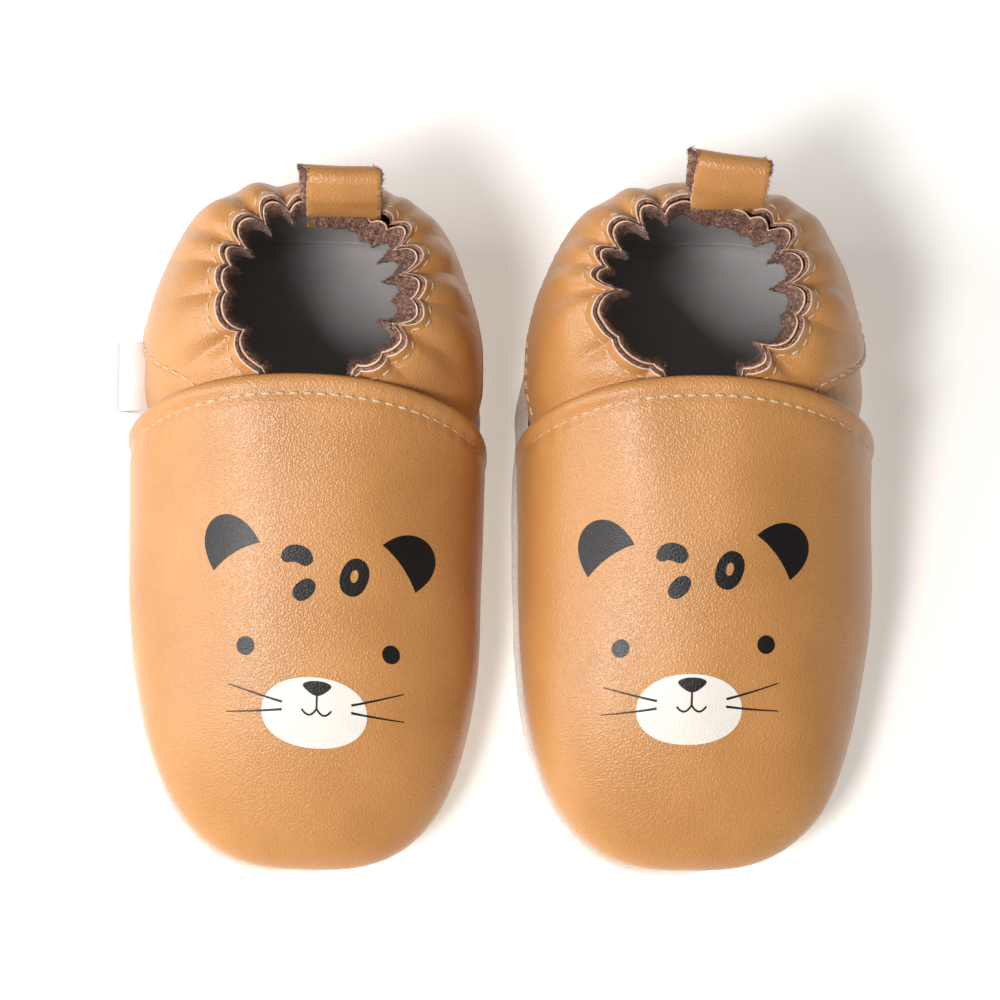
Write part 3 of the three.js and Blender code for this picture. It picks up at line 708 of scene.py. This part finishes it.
def gathers(boot, angle):
    # Returns the scallop (0 at a pinch, 1 between two), its depth, and the distance to the nearest pinch.
    degrees = np.degrees(angle)
    at = np.array([-176] + [c[0] for c in boot["cusps"]] + [176], float)
    depth = np.array([0.5] + [c[1] for c in boot["cusps"]] + [0.5], float)
    k = np.clip(np.searchsorted(at, degrees) - 1, 0, len(at) - 2)
    u = (degrees - at[k]) / (at[k + 1] - at[k])
    scallop = np.sin(np.pi * np.clip(u, 0, 1)) ** 0.62
    near = mix(depth[k], depth[k + 1], smooth(0.25, 0.75, u))
    gap = np.min(np.abs(degrees[..., None] - at), -1)
    return scallop, near, np.radians(gap)


def atLoop(boot, angle):
    # 1 where the pull loop passes through the collar.
    centre = math.degrees(math.atan2(boot["loop"] - boot["hub"], 12.5))
    away = np.abs(np.degrees(angle) - centre)
    return 1 - smooth(21, 33, away)


def collarRadius(boot, angle):
    scallop, depth, _ = gathers(boot, angle)
    loop = atLoop(boot, angle)
    pinched = depth * (1 - scallop) * (1 - loop)
    return openingRadius(boot, angle) + 1.2 - pinched - cuffSpec["loopDip"] * loop


def cuffFrame(boot, angle):
    # Fine profile of the cuff in each direction, from the collar edge down to the seam.
    hub = boot["hub"]
    start = collarRadius(boot, angle)
    z = np.full(angle.shape, panelSpec["seam"])
    for _ in range(5):
        p = wallPoint(hub, last["openingCentre"], angle, z, cuffSpec["outer"])
        z = seamHeightAt(p[..., 0], p[..., 1], boot["outer"])
    stop = np.hypot(p[..., 0] - hub, p[..., 1] - last["openingCentre"])
    forward = -np.cos(angle)
    limit = (last["openingCentre"] - cuffSpec["front"]) / np.maximum(forward, 1e-3)
    stop = np.where(forward > 1e-3, np.minimum(stop, limit), stop)
    return start, np.maximum(stop, start + 1.5)


def sideways(angle):
    return stack(np.sin(angle), np.cos(angle), 0 * angle)[:, None]


def cuffSurface(boot, angle):
    # The smooth cuff first, in even steps from the collar edge down to the seam.
    start, stop = cuffFrame(boot, angle)
    t = np.linspace(0, 1, 320)[None]
    r = stop[:, None] - (stop - start)[:, None] * (1 - t) ** 2.6
    x = boot["hub"] + r * np.sin(angle[:, None])
    y = last["openingCentre"] + r * np.cos(angle[:, None])
    base = resample(stack(x, y, heightOver(x, y, cuffSpec["outer"])), cuffSpec["rows"], 1.25)
    normal = np.cross(np.gradient(base, axis=1), np.gradient(base, axis=0))
    normal /= np.linalg.norm(normal, axis=-1)[..., None]
    normal *= np.sign(np.sum(normal * (sideways(angle) * 0.5 + np.array([0, 0, 1.0])), -1))[..., None]
    # Then the gathers, which swell and pinch it along its own normal and die out towards the seam.
    step = np.linalg.norm(np.diff(base, axis=1), axis=-1)
    away = np.concatenate([np.zeros((len(angle), 1)), np.cumsum(step, 1)], 1)
    left = away[:, -1:] - away
    scallop, depth, gap = gathers(boot, angle)
    scallop, loop = scallop[:, None], atLoop(boot, angle)[:, None]
    reach = np.hypot(base[..., 0] - boot["hub"], base[..., 1] - last["openingCentre"])
    crease = np.exp(-(gap[:, None] * reach / (1.0 + away * 0.15)) ** 2) * (depth[:, None] / 2.2) ** 0.7
    fade = np.exp(-(away / cuffSpec["foldLength"]) ** 1.8)
    hidden = smooth(last["hemCentre"] - 4.5, last["hemCentre"] + 3.5, base[..., 1])
    rise = cuffSpec["puff"] * (0.35 + 0.65 * scallop) * fade + 0.6 * np.exp(-((away - 6.5) / 4.5) ** 2)
    rise = rise - 0.95 * crease * fade + 0.28 * waves(boot["seed"] + 5, 14, base) * smooth(0, 4, away)
    rise = rise * smooth(0, 5, left) - 0.28 * np.exp(-((left - cuffSpec["seamInset"]) / 0.7) ** 2)
    rise = rise - 0.3 * np.exp(-((away - cuffSpec["stitchInset"]) / 0.7) ** 2) * (1 - loop)
    lip = np.maximum(0, 1 - away / cuffSpec["lipWidth"]) ** 1.6 * cuffSpec["lip"]
    lift = lip * (0.45 + 0.55 * scallop) * hidden * (1 - 0.6 * loop)
    return base + normal * (rise * hidden)[..., None] + stack(0, 0, lift), normal, away


def buildCuff(side, boot):
    angle = np.radians(np.linspace(-cuffSpec["sweep"], cuffSpec["sweep"], cuffSpec["steps"]))
    outer, normal, reach = cuffSurface(boot, angle)
    stand = np.maximum(0, 1 - reach / 2.2)[..., None]
    out = sideways(angle)
    inner = outer - normal * leather * (1 - stand) - (out * 0.92 + np.array([0, 0, 0.12])) * stand
    endFace = [mix(outer[:, 0], inner[:, 0], t)[:, None] for t in (0.27, 0.5, 0.75)]
    for strip in endFace:
        strip[..., 2] += 0.06
    points = np.concatenate([inner[:, ::-1], *endFace[::-1], outer], 1)
    rows, columns = points.shape[:2]
    n = cuffSpec["rows"]
    column = np.tile(np.arange(columns), rows - 1)
    chosen = np.select([column < n + 2, column == n + 2, column == columns - 1], [1, 2, 2], 0)
    faces = gridFaces(rows, columns, closed=True)
    faces += capEnds(rows, columns)
    chance = np.random.default_rng(boot["seed"])
    fuzz = chance.normal(0, 0.05, points.shape)
    fuzz[:, [i for i in range(columns) if i < n - 12 or i > n + 1]] = 0
    piece = makePiece(side + "_cuff_leather", place(boot, points + fuzz), faces,
                      [tanLeather, brownFlesh, cutEdge], np.append(chosen, [0, 0]), sharp=75)
    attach(piece, side + "_bootie")
    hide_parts(side + "_ankle_cuff")

    def line(inset, fromEnd, ahead):
        path = np.empty((len(angle), 3))
        up = np.empty((len(angle), 3))
        for i in range(len(angle)):
            at = reach[i, -1] - inset if fromEnd else inset
            for k in range(3):
                path[i, k] = np.interp(at, reach[i], outer[i, :, k])
                up[i, k] = np.interp(at, reach[i], normal[i, :, k])
        shown = path[:, 1] > last["hemCentre"] - 2 - ahead
        return path[shown], (path + up)[shown]

    collar = line(cuffSpec["stitchInset"], False, 0)
    middle = len(collar[0]) // 2
    clear = np.abs(collar[0][:, 0] - boot["loop"]) > 6.9
    clear |= collar[0][:, 1] < last["openingCentre"]
    first = np.arange(len(clear)) < middle
    halves = [(collar[0][part], collar[1][part]) for part in (clear & first, clear & ~first)]
    addStitches(side, "collar_stitches", "collar_thread", halves, length=1.9, radius=0.22)
    seam = line(cuffSpec["seamInset"], True, 1)
    addStitches(side, "cuff_stitches", "cuff_thread", [seam], length=2.0, radius=0.24)


napSpec = {"shortest": 0.3, "longest": 1.05, "radius": 0.06, "inCollar": 8000, "onLoop": 900}


def addNap(side, label, anchors, way, count, body="_bootie"):
    # Loose fibres standing out of a flesh side, each a slim three-sided spike.
    boot = boots[side]
    chance = np.random.default_rng(boot["seed"] + 60)
    i, j = chance.integers(0, anchors.shape[0], count), chance.integers(0, anchors.shape[1], count)
    base = anchors[i, j] + chance.normal(0, 0.12, (count, 3))
    aim = way[i] * 0.55 + np.array([0, 0, 0.35]) + chance.normal(0, 0.6, (count, 3))
    aim /= np.linalg.norm(aim, axis=1)[:, None]
    size = chance.uniform(napSpec["shortest"], napSpec["longest"], count)[:, None]
    acrossA = np.cross(aim, [0.3, 0.2, 0.9])
    acrossA /= np.linalg.norm(acrossA, axis=1)[:, None]
    acrossB = np.cross(aim, acrossA)
    corners = [base - aim * 0.1 + napSpec["radius"] * (acrossA * math.cos(t) + acrossB * math.sin(t))
               for t in (0, 2.094, 4.189)]
    bend = chance.normal(0, 0.12, (count, 3))
    points = np.stack(corners + [base + aim * size + bend], 1)
    faces = []
    for k in range(0, 4 * count, 4):
        faces += [[k, k + 1, k + 3], [k + 1, k + 2, k + 3], [k + 2, k, k + 3], [k + 2, k + 1, k]]
    piece = makePiece(side + "_" + label, place(boot, points), faces, [brownFlesh], tidy=False)
    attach(piece, side + body)


def buildFacing(side, boot):
    angle = np.radians(np.linspace(-cuffSpec["sweep"], cuffSpec["sweep"], cuffSpec["steps"]))
    top = cuffSurface(boot, angle)[0][:, 0]
    edge = np.hypot(top[:, 0] - boot["hub"], top[:, 1] - last["openingCentre"])
    edge = edge - 1.12 - boot["facingDip"] * atLoop(boot, angle)
    loop = atLoop(boot, angle)
    height = top[:, 2] - 0.35 - 0.8 * loop

    def at(radius, z):
        return stack(boot["hub"] + radius * np.sin(angle), last["openingCentre"] + radius * np.cos(angle), z)

    thick = 0.85
    # The flesh side swells forward below the pull loop and along the right side.
    degrees = np.degrees(angle)
    bulge = 1.3 * loop + boot["sideBulge"] * smooth(25, 50, degrees) * (1 - smooth(105, 130, degrees))
    wave = 0.35 * np.sin(np.degrees(angle) * 0.55 + boot["seed"])
    frontness = smooth(120, 150, np.abs(np.degrees(angle)))
    drop = mix(5.5, 3.0, frontness)
    profile = [
        at(edge + 5.6, height - drop - 4.6), at(edge + 3.6, height - drop - 2.9),
        at(edge + 1.6, height - drop - 0.7),
        at(edge + 0.35, height - drop * 0.75), at(edge - 0.05 + wave * 0.3, height - drop * 0.45),
        at(edge + wave * 0.2, height - 1.1), at(edge, height),
        at(edge - 0.2, height + 0.05), at(edge - 0.42, height + 0.04), at(edge - thick, height - 0.12),
        at(edge - thick - 0.5 - bulge * 0.5 + wave * 0.3, height - 1.2),
        at(edge - thick - 1.0 - bulge + wave * 0.5, height - drop * 0.45),
        at(edge - thick - 0.5 - bulge * 0.7, height - drop * 0.8), at(edge + 0.9, height - drop - 1.5),
        at(edge + 3.2, height - drop - 4.0), at(edge + 5.4, height - drop - 5.6),
    ]
    points = np.stack(profile, 1)
    # Extra rows in the fuzzy drop, where the flesh side shows.
    fine = resample(points[:, 9:13], 16)
    points = np.concatenate([points[:, :9], fine, points[:, 13:]], 1)
    rows, columns = points.shape[:2]
    chance = np.random.default_rng(boot["seed"] + 20)
    fuzz = chance.normal(0, 0.08, points.shape)
    fuzz[:, :9] = 0
    fuzz[:, 25:] = 0
    column = np.tile(np.arange(columns), rows - 1)
    chosen = np.select([column < 7, column == 7], [0, 2], 1)
    faces = gridFaces(rows, columns, closed=True)
    faces += capEnds(rows, columns)
    piece = makePiece(side + "_facing_leather", place(boot, points + fuzz), faces,
                      [tanLeather, brownFlesh, cutEdge], np.append(chosen, [0, 0]), sharp=80)
    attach(piece, side + "_bootie")
    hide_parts(side + "_cuff_facing")
    back = top[:, 1] > last["hemCentre"] - 1
    addNap(side, "facing_nap", points[back][:, 9:23], -sideways(angle)[back, 0], napSpec["inCollar"])


soleSpec = {"corner": 5.0, "thickness": 1.2, "rim": 1.6, "frontOffset": 3.4, "heelOffset": 0.6,
            "margin": 2.3, "marginTurn": 218, "insoleInset": 1.2, "insoleTop": 4.8, "insoleUnder": 3.85}


def soleOutline(count):
    # Even steps round the sole's edge: direction values that scale to any inset.
    a = np.linspace(0, 2 * np.pi, 4001)
    power = np.where(np.sin(a) < 0, last["toeSquareness"], last["heelSquareness"])
    along = np.sign(np.sin(a)) * np.abs(np.sin(a)) ** (2 / power)
    across = np.sign(np.cos(a)) * np.abs(np.cos(a)) ** (2 / power)
    length = np.append(0, np.cumsum(np.hypot(np.diff(across) * 29, np.diff(along) * 59)))
    at = np.linspace(0, length[-1], count, endpoint=False)
    return np.interp(at, length, across), np.interp(at, length, along)


def solePoint(across, along, inset, z, margin=0.0):
    towardsHeel = smooth(6, last["openingCentre"], along * last["halfLength"])
    offset = mix(soleSpec["frontOffset"], soleSpec["heelOffset"], towardsHeel) - inset
    turn = math.radians(soleSpec["marginTurn"])
    lean = np.clip(across * math.cos(turn) * 1.1 + along * math.sin(turn) * 0.9, 0, 1)
    offset = offset + margin * soleSpec["margin"] * smooth(0.25, 0.9, lean)
    y = along * (last["halfLength"] + offset)
    return stack(across * bodyHalfWidth(y, offset), y, z)


def buildSole(side, boot):
    across, along = soleOutline(260)
    turns = np.linspace(0, np.pi / 2, 9)
    rings = [(across * s, along * s, 5.0, 0.0, 0) for s in np.linspace(0.02, 0.98, 12)]
    c = soleSpec["corner"]
    rings += [(across, along, c * (1 - math.sin(t)), 6 * (1 - math.cos(t)) * 0.93, math.sin(t) ** 3)
              for t in turns]
    rings += [(across, along, i, z, 1) for i, z in ((0.12, 5.95), (0.5, 6.2), (1.0, 6.2), (1.4, 5.95))]
    rings += [(across, along, soleSpec["rim"] + (c - soleSpec["rim"]) * (1 - math.sin(t)),
               soleSpec["thickness"] + 4.5 * (1 - math.cos(t)), math.sin(t) ** 3 * 0.5)
              for t in turns[::-1]]
    rings += [(across * s, along * s, 5.0, soleSpec["thickness"], 0) for s in np.linspace(0.95, 0.02, 6)]
    points = np.stack([solePoint(a, l, inset, z, m) for a, l, inset, z, m in rings], 0)
    wobble = 0.12 * waves(boot["seed"] + 8, 9, points) * smooth(2, 5, points[..., 2])
    points[..., 0] += wobble
    points[..., 2] += 0.5 * wobble
    rows, columns = points.shape[:2]
    faces = gridFaces(rows, columns, closed=True)
    faces += capEnds(rows, columns)
    piece = makePiece(side + "_suede_sole", place(boot, points), faces, [whiteSuede], sharp=60)
    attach(piece, side + "_bootie")
    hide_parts(side + "_outsole")

    t = math.radians(62)
    inset, z = c * (1 - math.sin(t)), 6 * (1 - math.cos(t))
    path = solePoint(across, along, inset, z, math.sin(t) ** 3)
    above = solePoint(across, along, inset - 0.8, z - 0.6, math.sin(t) ** 3)
    path, above = np.concatenate([path, path[:1]]), np.concatenate([above, above[:1]])
    addStitches(side, "sole_stitches", "sole_thread", [(path, above)], radius=0.24, length=1.9)

    inset, under = soleSpec["insoleInset"], soleSpec["insoleUnder"]
    shares = np.linspace(0.02, 0.97, 26)
    top = [solePoint(across * s, along * s, inset, soleSpec["insoleTop"]) for s in shares]
    # The lining turns up a little against the wall before it folds under.
    edge = ((1.9, 5.6), (1.6, 6.9), (1.3, 6.95), (1.2, 5.6), (inset + 0.1, 4.65), (inset, 4.3),
            (inset + 0.2, under))
    top += [solePoint(across, along, i, z) for i, z in edge]
    top.append(solePoint(across * 0.5, along * 0.5, inset, under))
    points = np.stack(top, 0)
    padded = np.append(np.sqrt(np.clip(1 - shares ** 4, 0, 1)), np.zeros(8))[:, None]
    points[..., 2] += padded * (0.6 + 0.22 * waves(boot["seed"] + 11, 15, points))
    rows, columns = points.shape[:2]
    faces = gridFaces(rows, columns, closed=True)
    faces += capEnds(rows, columns)
    insole = makePiece(side + "_insole_lining", place(boot, points), faces, [greyLining], sharp=60)
    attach(insole, side + "_bootie")
    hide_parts(side + "_insole")


loopSpec = {"width": 13.3, "thick": 1.0, "neck": (52.0, 50.9), "foldRadius": 1.75, "tabLow": 41.0,
            "skew": 1.5}


def buildLoop(side, boot):
    lean = math.radians(boot["lean"])
    neckY, neckZ = loopSpec["neck"][0] + boot["loopBack"], loopSpec["neck"][1]
    up = np.array([math.sin(lean), math.cos(lean)])
    out = np.array([-math.cos(lean), math.sin(lean)])    # towards the toes
    neck = np.array([neckY, neckZ])
    fold, low = loopSpec["foldRadius"], loopSpec["tabLow"]
    centre = neck + up * boot["reach"]
    line = [(neckY - 0.75, low), (neckY - 0.8, 44.5), (neckY - 0.75, 47.8),
            (neckY - 0.6, 49.8)]
    line += [tuple(neck + up * 1.2 + out * 0.75), tuple(neck + up * boot["reach"] * 0.5 + out * 1.5)]
    for turn in np.linspace(0, np.pi, 11):
        line.append(tuple(centre + out * fold * math.cos(turn) + up * fold * math.sin(turn)))
    line += [tuple(neck + up * boot["reach"] * 0.5 - out * 1.35), tuple(neck + up * 1.4 - out * 0.75),
             (neckY + 0.75, 49.6), (neckY + 0.75, 47.6), (neckY + 0.7, 44.5), (neckY + 0.7, low)]
    p = np.array(line)
    smoothLine = [p[0]]
    for i in range(len(p) - 1):
        a, b, c, d = p[max(i - 1, 0)], p[i], p[i + 1], p[min(i + 2, len(p) - 1)]
        for t in np.linspace(0, 1, 7)[1:]:
            smoothLine.append(between(a, b, c, d, t))
    path = np.array(smoothLine)
    along = np.gradient(path, axis=0)
    along /= np.linalg.norm(along, axis=1)[:, None]
    normal = np.stack([-along[:, 1], along[:, 0]], -1)     # away from the inside of the loop
    w, t = loopSpec["width"] / 2, loopSpec["thick"] / 2
    wide = np.linspace(-w, w, 15)
    section = [(x, t - 0.12 * (abs(x) / w) ** 12) for x in wide]
    section += [(w + 0.03, t * 0.62), (w + 0.03, t * 0.35), (w, -t * 0.4), (w - 0.1, -t)]
    section += [(x, -t) for x in wide[::-1][1:-1]] + [(-w + 0.1, -t), (-w, -t * 0.4), (-w - 0.03, t * 0.35),
                                                      (-w - 0.03, t * 0.62)]
    count = len(section)
    points = np.zeros((len(path), count, 3))
    progress = np.linspace(0, 1, len(path))
    for k, (x, h) in enumerate(section):
        points[:, k, 0] = x
        points[:, k, 1:] = path + normal * h
    chance = np.random.default_rng(boot["seed"] + 40)
    rim = slice(len(wide), count)
    points[:, rim] += chance.normal(0, 0.05, points[:, rim].shape)
    above = smooth(neckZ - 2, neckZ + 2, points[..., 2])
    points[..., 0] -= loopSpec["skew"] * smooth(0.45, 0.62, progress)[:, None] * above
    points[..., 1:] += 0.18 * (np.cos(points[..., 0] * 0.42 + 0.5) * above)[..., None] * np.array([-0.6, 0.5])
    turn = np.radians(boot["twist"]) * above
    x, y = points[..., 0].copy(), points[..., 1] - neckY
    points[..., 0] = x * np.cos(turn) - y * np.sin(turn) + boot["loop"]
    points[..., 1] = x * np.sin(turn) + y * np.cos(turn) + neckY
    column = np.tile(np.arange(count), len(path) - 1)
    cut = (column == 14) | (column == 15) | (column >= count - 2)
    chosen = np.select([column < 14, cut], [0, 2], 1)
    faces = gridFaces(len(path), count, closed=True)
    faces += capEnds(len(path), count)
    piece = makePiece(side + "_loop_strip", place(boot, points), faces, [tanLeather, brownFlesh, cutEdge],
                      np.append(chosen, [1, 1]), sharp=70)
    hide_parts(side + "_pull_loop", side + "_pull_loop_tab")
    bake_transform(piece)
    standing = points[points[:, 0, 2] > neckZ + 3.2]
    addNap(side, "loop_nap", standing[:, [16, 17, 33, 34]], np.zeros((len(standing), 3)),
           napSpec["onLoop"], "_loop")


labelSpec = {"length": 13.0, "width": 7.0, "thick": 0.26, "open": 2.2, "rise": 1.0}


def buildLabel():
    low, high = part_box("left_side_label")
    middleY, hinge = (low.y + high.y) / 2, (high.x, (low.z + high.z) / 2)
    half = labelSpec["length"] / 2
    top, wide = [], labelSpec["width"]
    for t in np.linspace(0, 1, 14):
        top.append((-wide * t, labelSpec["open"] * 0.5 * math.sin(math.pi * min(1, t * 1.05)) + 0.15))
    fold = [(-wide - 0.35 * math.sin(a), 0.2 * math.cos(a)) for a in np.linspace(0.3, math.pi - 0.3, 7)]
    path = np.array(top + fold + [(x, -z - 0.02) for x, z in reversed(top)])
    along = np.gradient(path, axis=0)
    along /= np.linalg.norm(along, axis=1)[:, None]
    normal = np.stack([-along[:, 1], along[:, 0]], -1)
    lanes = np.linspace(-half, half, 22)
    loopPoints = np.concatenate([path + normal * labelSpec["thick"] / 2,
                                 (path - normal * labelSpec["thick"] / 2)[::-1]])
    points = np.zeros((len(lanes), len(loopPoints), 3))
    for i, y in enumerate(lanes):
        bow = 0.35 * math.sin(y / half * 1.7)
        points[i] = [(x, y, z + bow + labelSpec["rise"] * abs(x) / wide) for x, z in loopPoints]
    points *= mm
    points += np.array([hinge[0] - 1.4 * mm, middleY, hinge[1] - 1.1 * mm])
    rows, columns = points.shape[:2]
    faces = gridFaces(rows, columns, closed=True)
    faces += capEnds(rows, columns)
    piece = makePiece("left_label_tape", points, faces, [labelTape], sharp=60)
    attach(piece, "left_label")
    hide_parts("left_side_label")


printPlace = {"left": (2.7, -25.9, 2.7), "right": (-1.1, -25.1, 0.0)}
for side, boot in boots.items():
    buildVamp(side, boot)
    buildHemStitches(side, boot)
    buildPrint(side, boot, *printPlace[side])
    print(side, "vamp, hem and print made")
    buildHeelPanel(side, boot)
    buildCuff(side, boot)
    buildFacing(side, boot)
    print(side, "heel, cuff and facing made")
    buildSole(side, boot)
    buildLoop(side, boot)
    print(side, "sole and loop made")
    for node, material in (("_sole_foam", whiteFoam), ("_elastic_band", knitElastic)):
        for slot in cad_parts[side + node].material_slots:
            slot.material = material
buildLabel()
print("label made")

studio = {"floor": 3.0, "glow": 0.29, "ambient": 0.2, "distance": 0.9, "tilt": 12.5, "fromLeft": 1.0,
          "lens": 175.0}
softboxes = [("window", 6.0, (0.6, 0.8), (-0.75, -0.15, 0.46)),
             ("overhead", 6.9, (0.26, 0.26), (-0.35, -0.36, 0.88)),
             ("fill", 0.5, (0.8, 0.8), (0.3, 0.6, 0.9))]


def buildStudio():
    half = studio["floor"] / 2
    floorMaterial, tree, shader = startMaterial("paper_floor", Roughness=0.9, Specular_IOR_Level=0.1)
    where = addNode(tree, "ShaderNodeTexCoord").outputs["Object"]
    tooth = addNode(tree, "ShaderNodeTexNoise", {"Vector": where, "Scale": 300.0})
    colour = blendColour(tree, tooth.outputs["Fac"], paint("fbfaf8"), paint("fdfdfc"))
    tree.links.new(colour, shader.inputs["Base Color"])
    shader.inputs["Emission Color"].default_value = (1, 0.94, 0.85, 1)
    shader.inputs["Emission Strength"].default_value = studio["glow"]
    floor = makePiece("floor", [(-half, -half, 0), (half, -half, 0), (half, half, 0), (-half, half, 0)],
                      [[0, 1, 2, 3]], [floorMaterial], tidy=False)
    world = bpy.data.worlds.new("studio")
    bpy.context.scene.world = world
    world.use_nodes = True
    world.node_tree.nodes["Background"].inputs[0].default_value = (1, 0.995, 0.985, 1)
    world.node_tree.nodes["Background"].inputs[1].default_value = studio["ambient"]
    for name, power, size, at in softboxes:
        light = bpy.data.lights.new(name, "AREA")
        light.shape, light.size, light.size_y, light.energy = "RECTANGLE", *size, power
        lamp = bpy.data.objects.new(name, light)
        lamp.location = at
        lamp.rotation_euler = (Vector((0, 0, 0.02)) - Vector(at)).to_track_quat("-Z", "Y").to_euler()
        bpy.context.scene.collection.objects.link(lamp)
    camera = bpy.data.cameras.new("camera")
    camera.lens, camera.sensor_width = studio["lens"], 36
    camera.clip_start = 0.01
    eye = bpy.data.objects.new("camera", camera)
    tilt, left = math.radians(studio["tilt"]), math.radians(studio["fromLeft"])
    aim = Vector((0.0, 0.0055, 0.02))
    away = Vector((-math.sin(left), -math.sin(tilt) * math.cos(left), math.cos(tilt) * math.cos(left)))
    eye.location = aim + away * studio["distance"]
    back = away.normalized()
    right = Vector((0, 1, 0)).cross(back).normalized()
    up = back.cross(right)
    eye.rotation_euler = Matrix((right, up, back)).transposed().to_euler()
    bpy.context.scene.collection.objects.link(eye)
    bpy.context.scene.camera = eye
    bpy.context.scene.view_settings.view_transform = "Standard"


buildStudio()
print("studio ready")
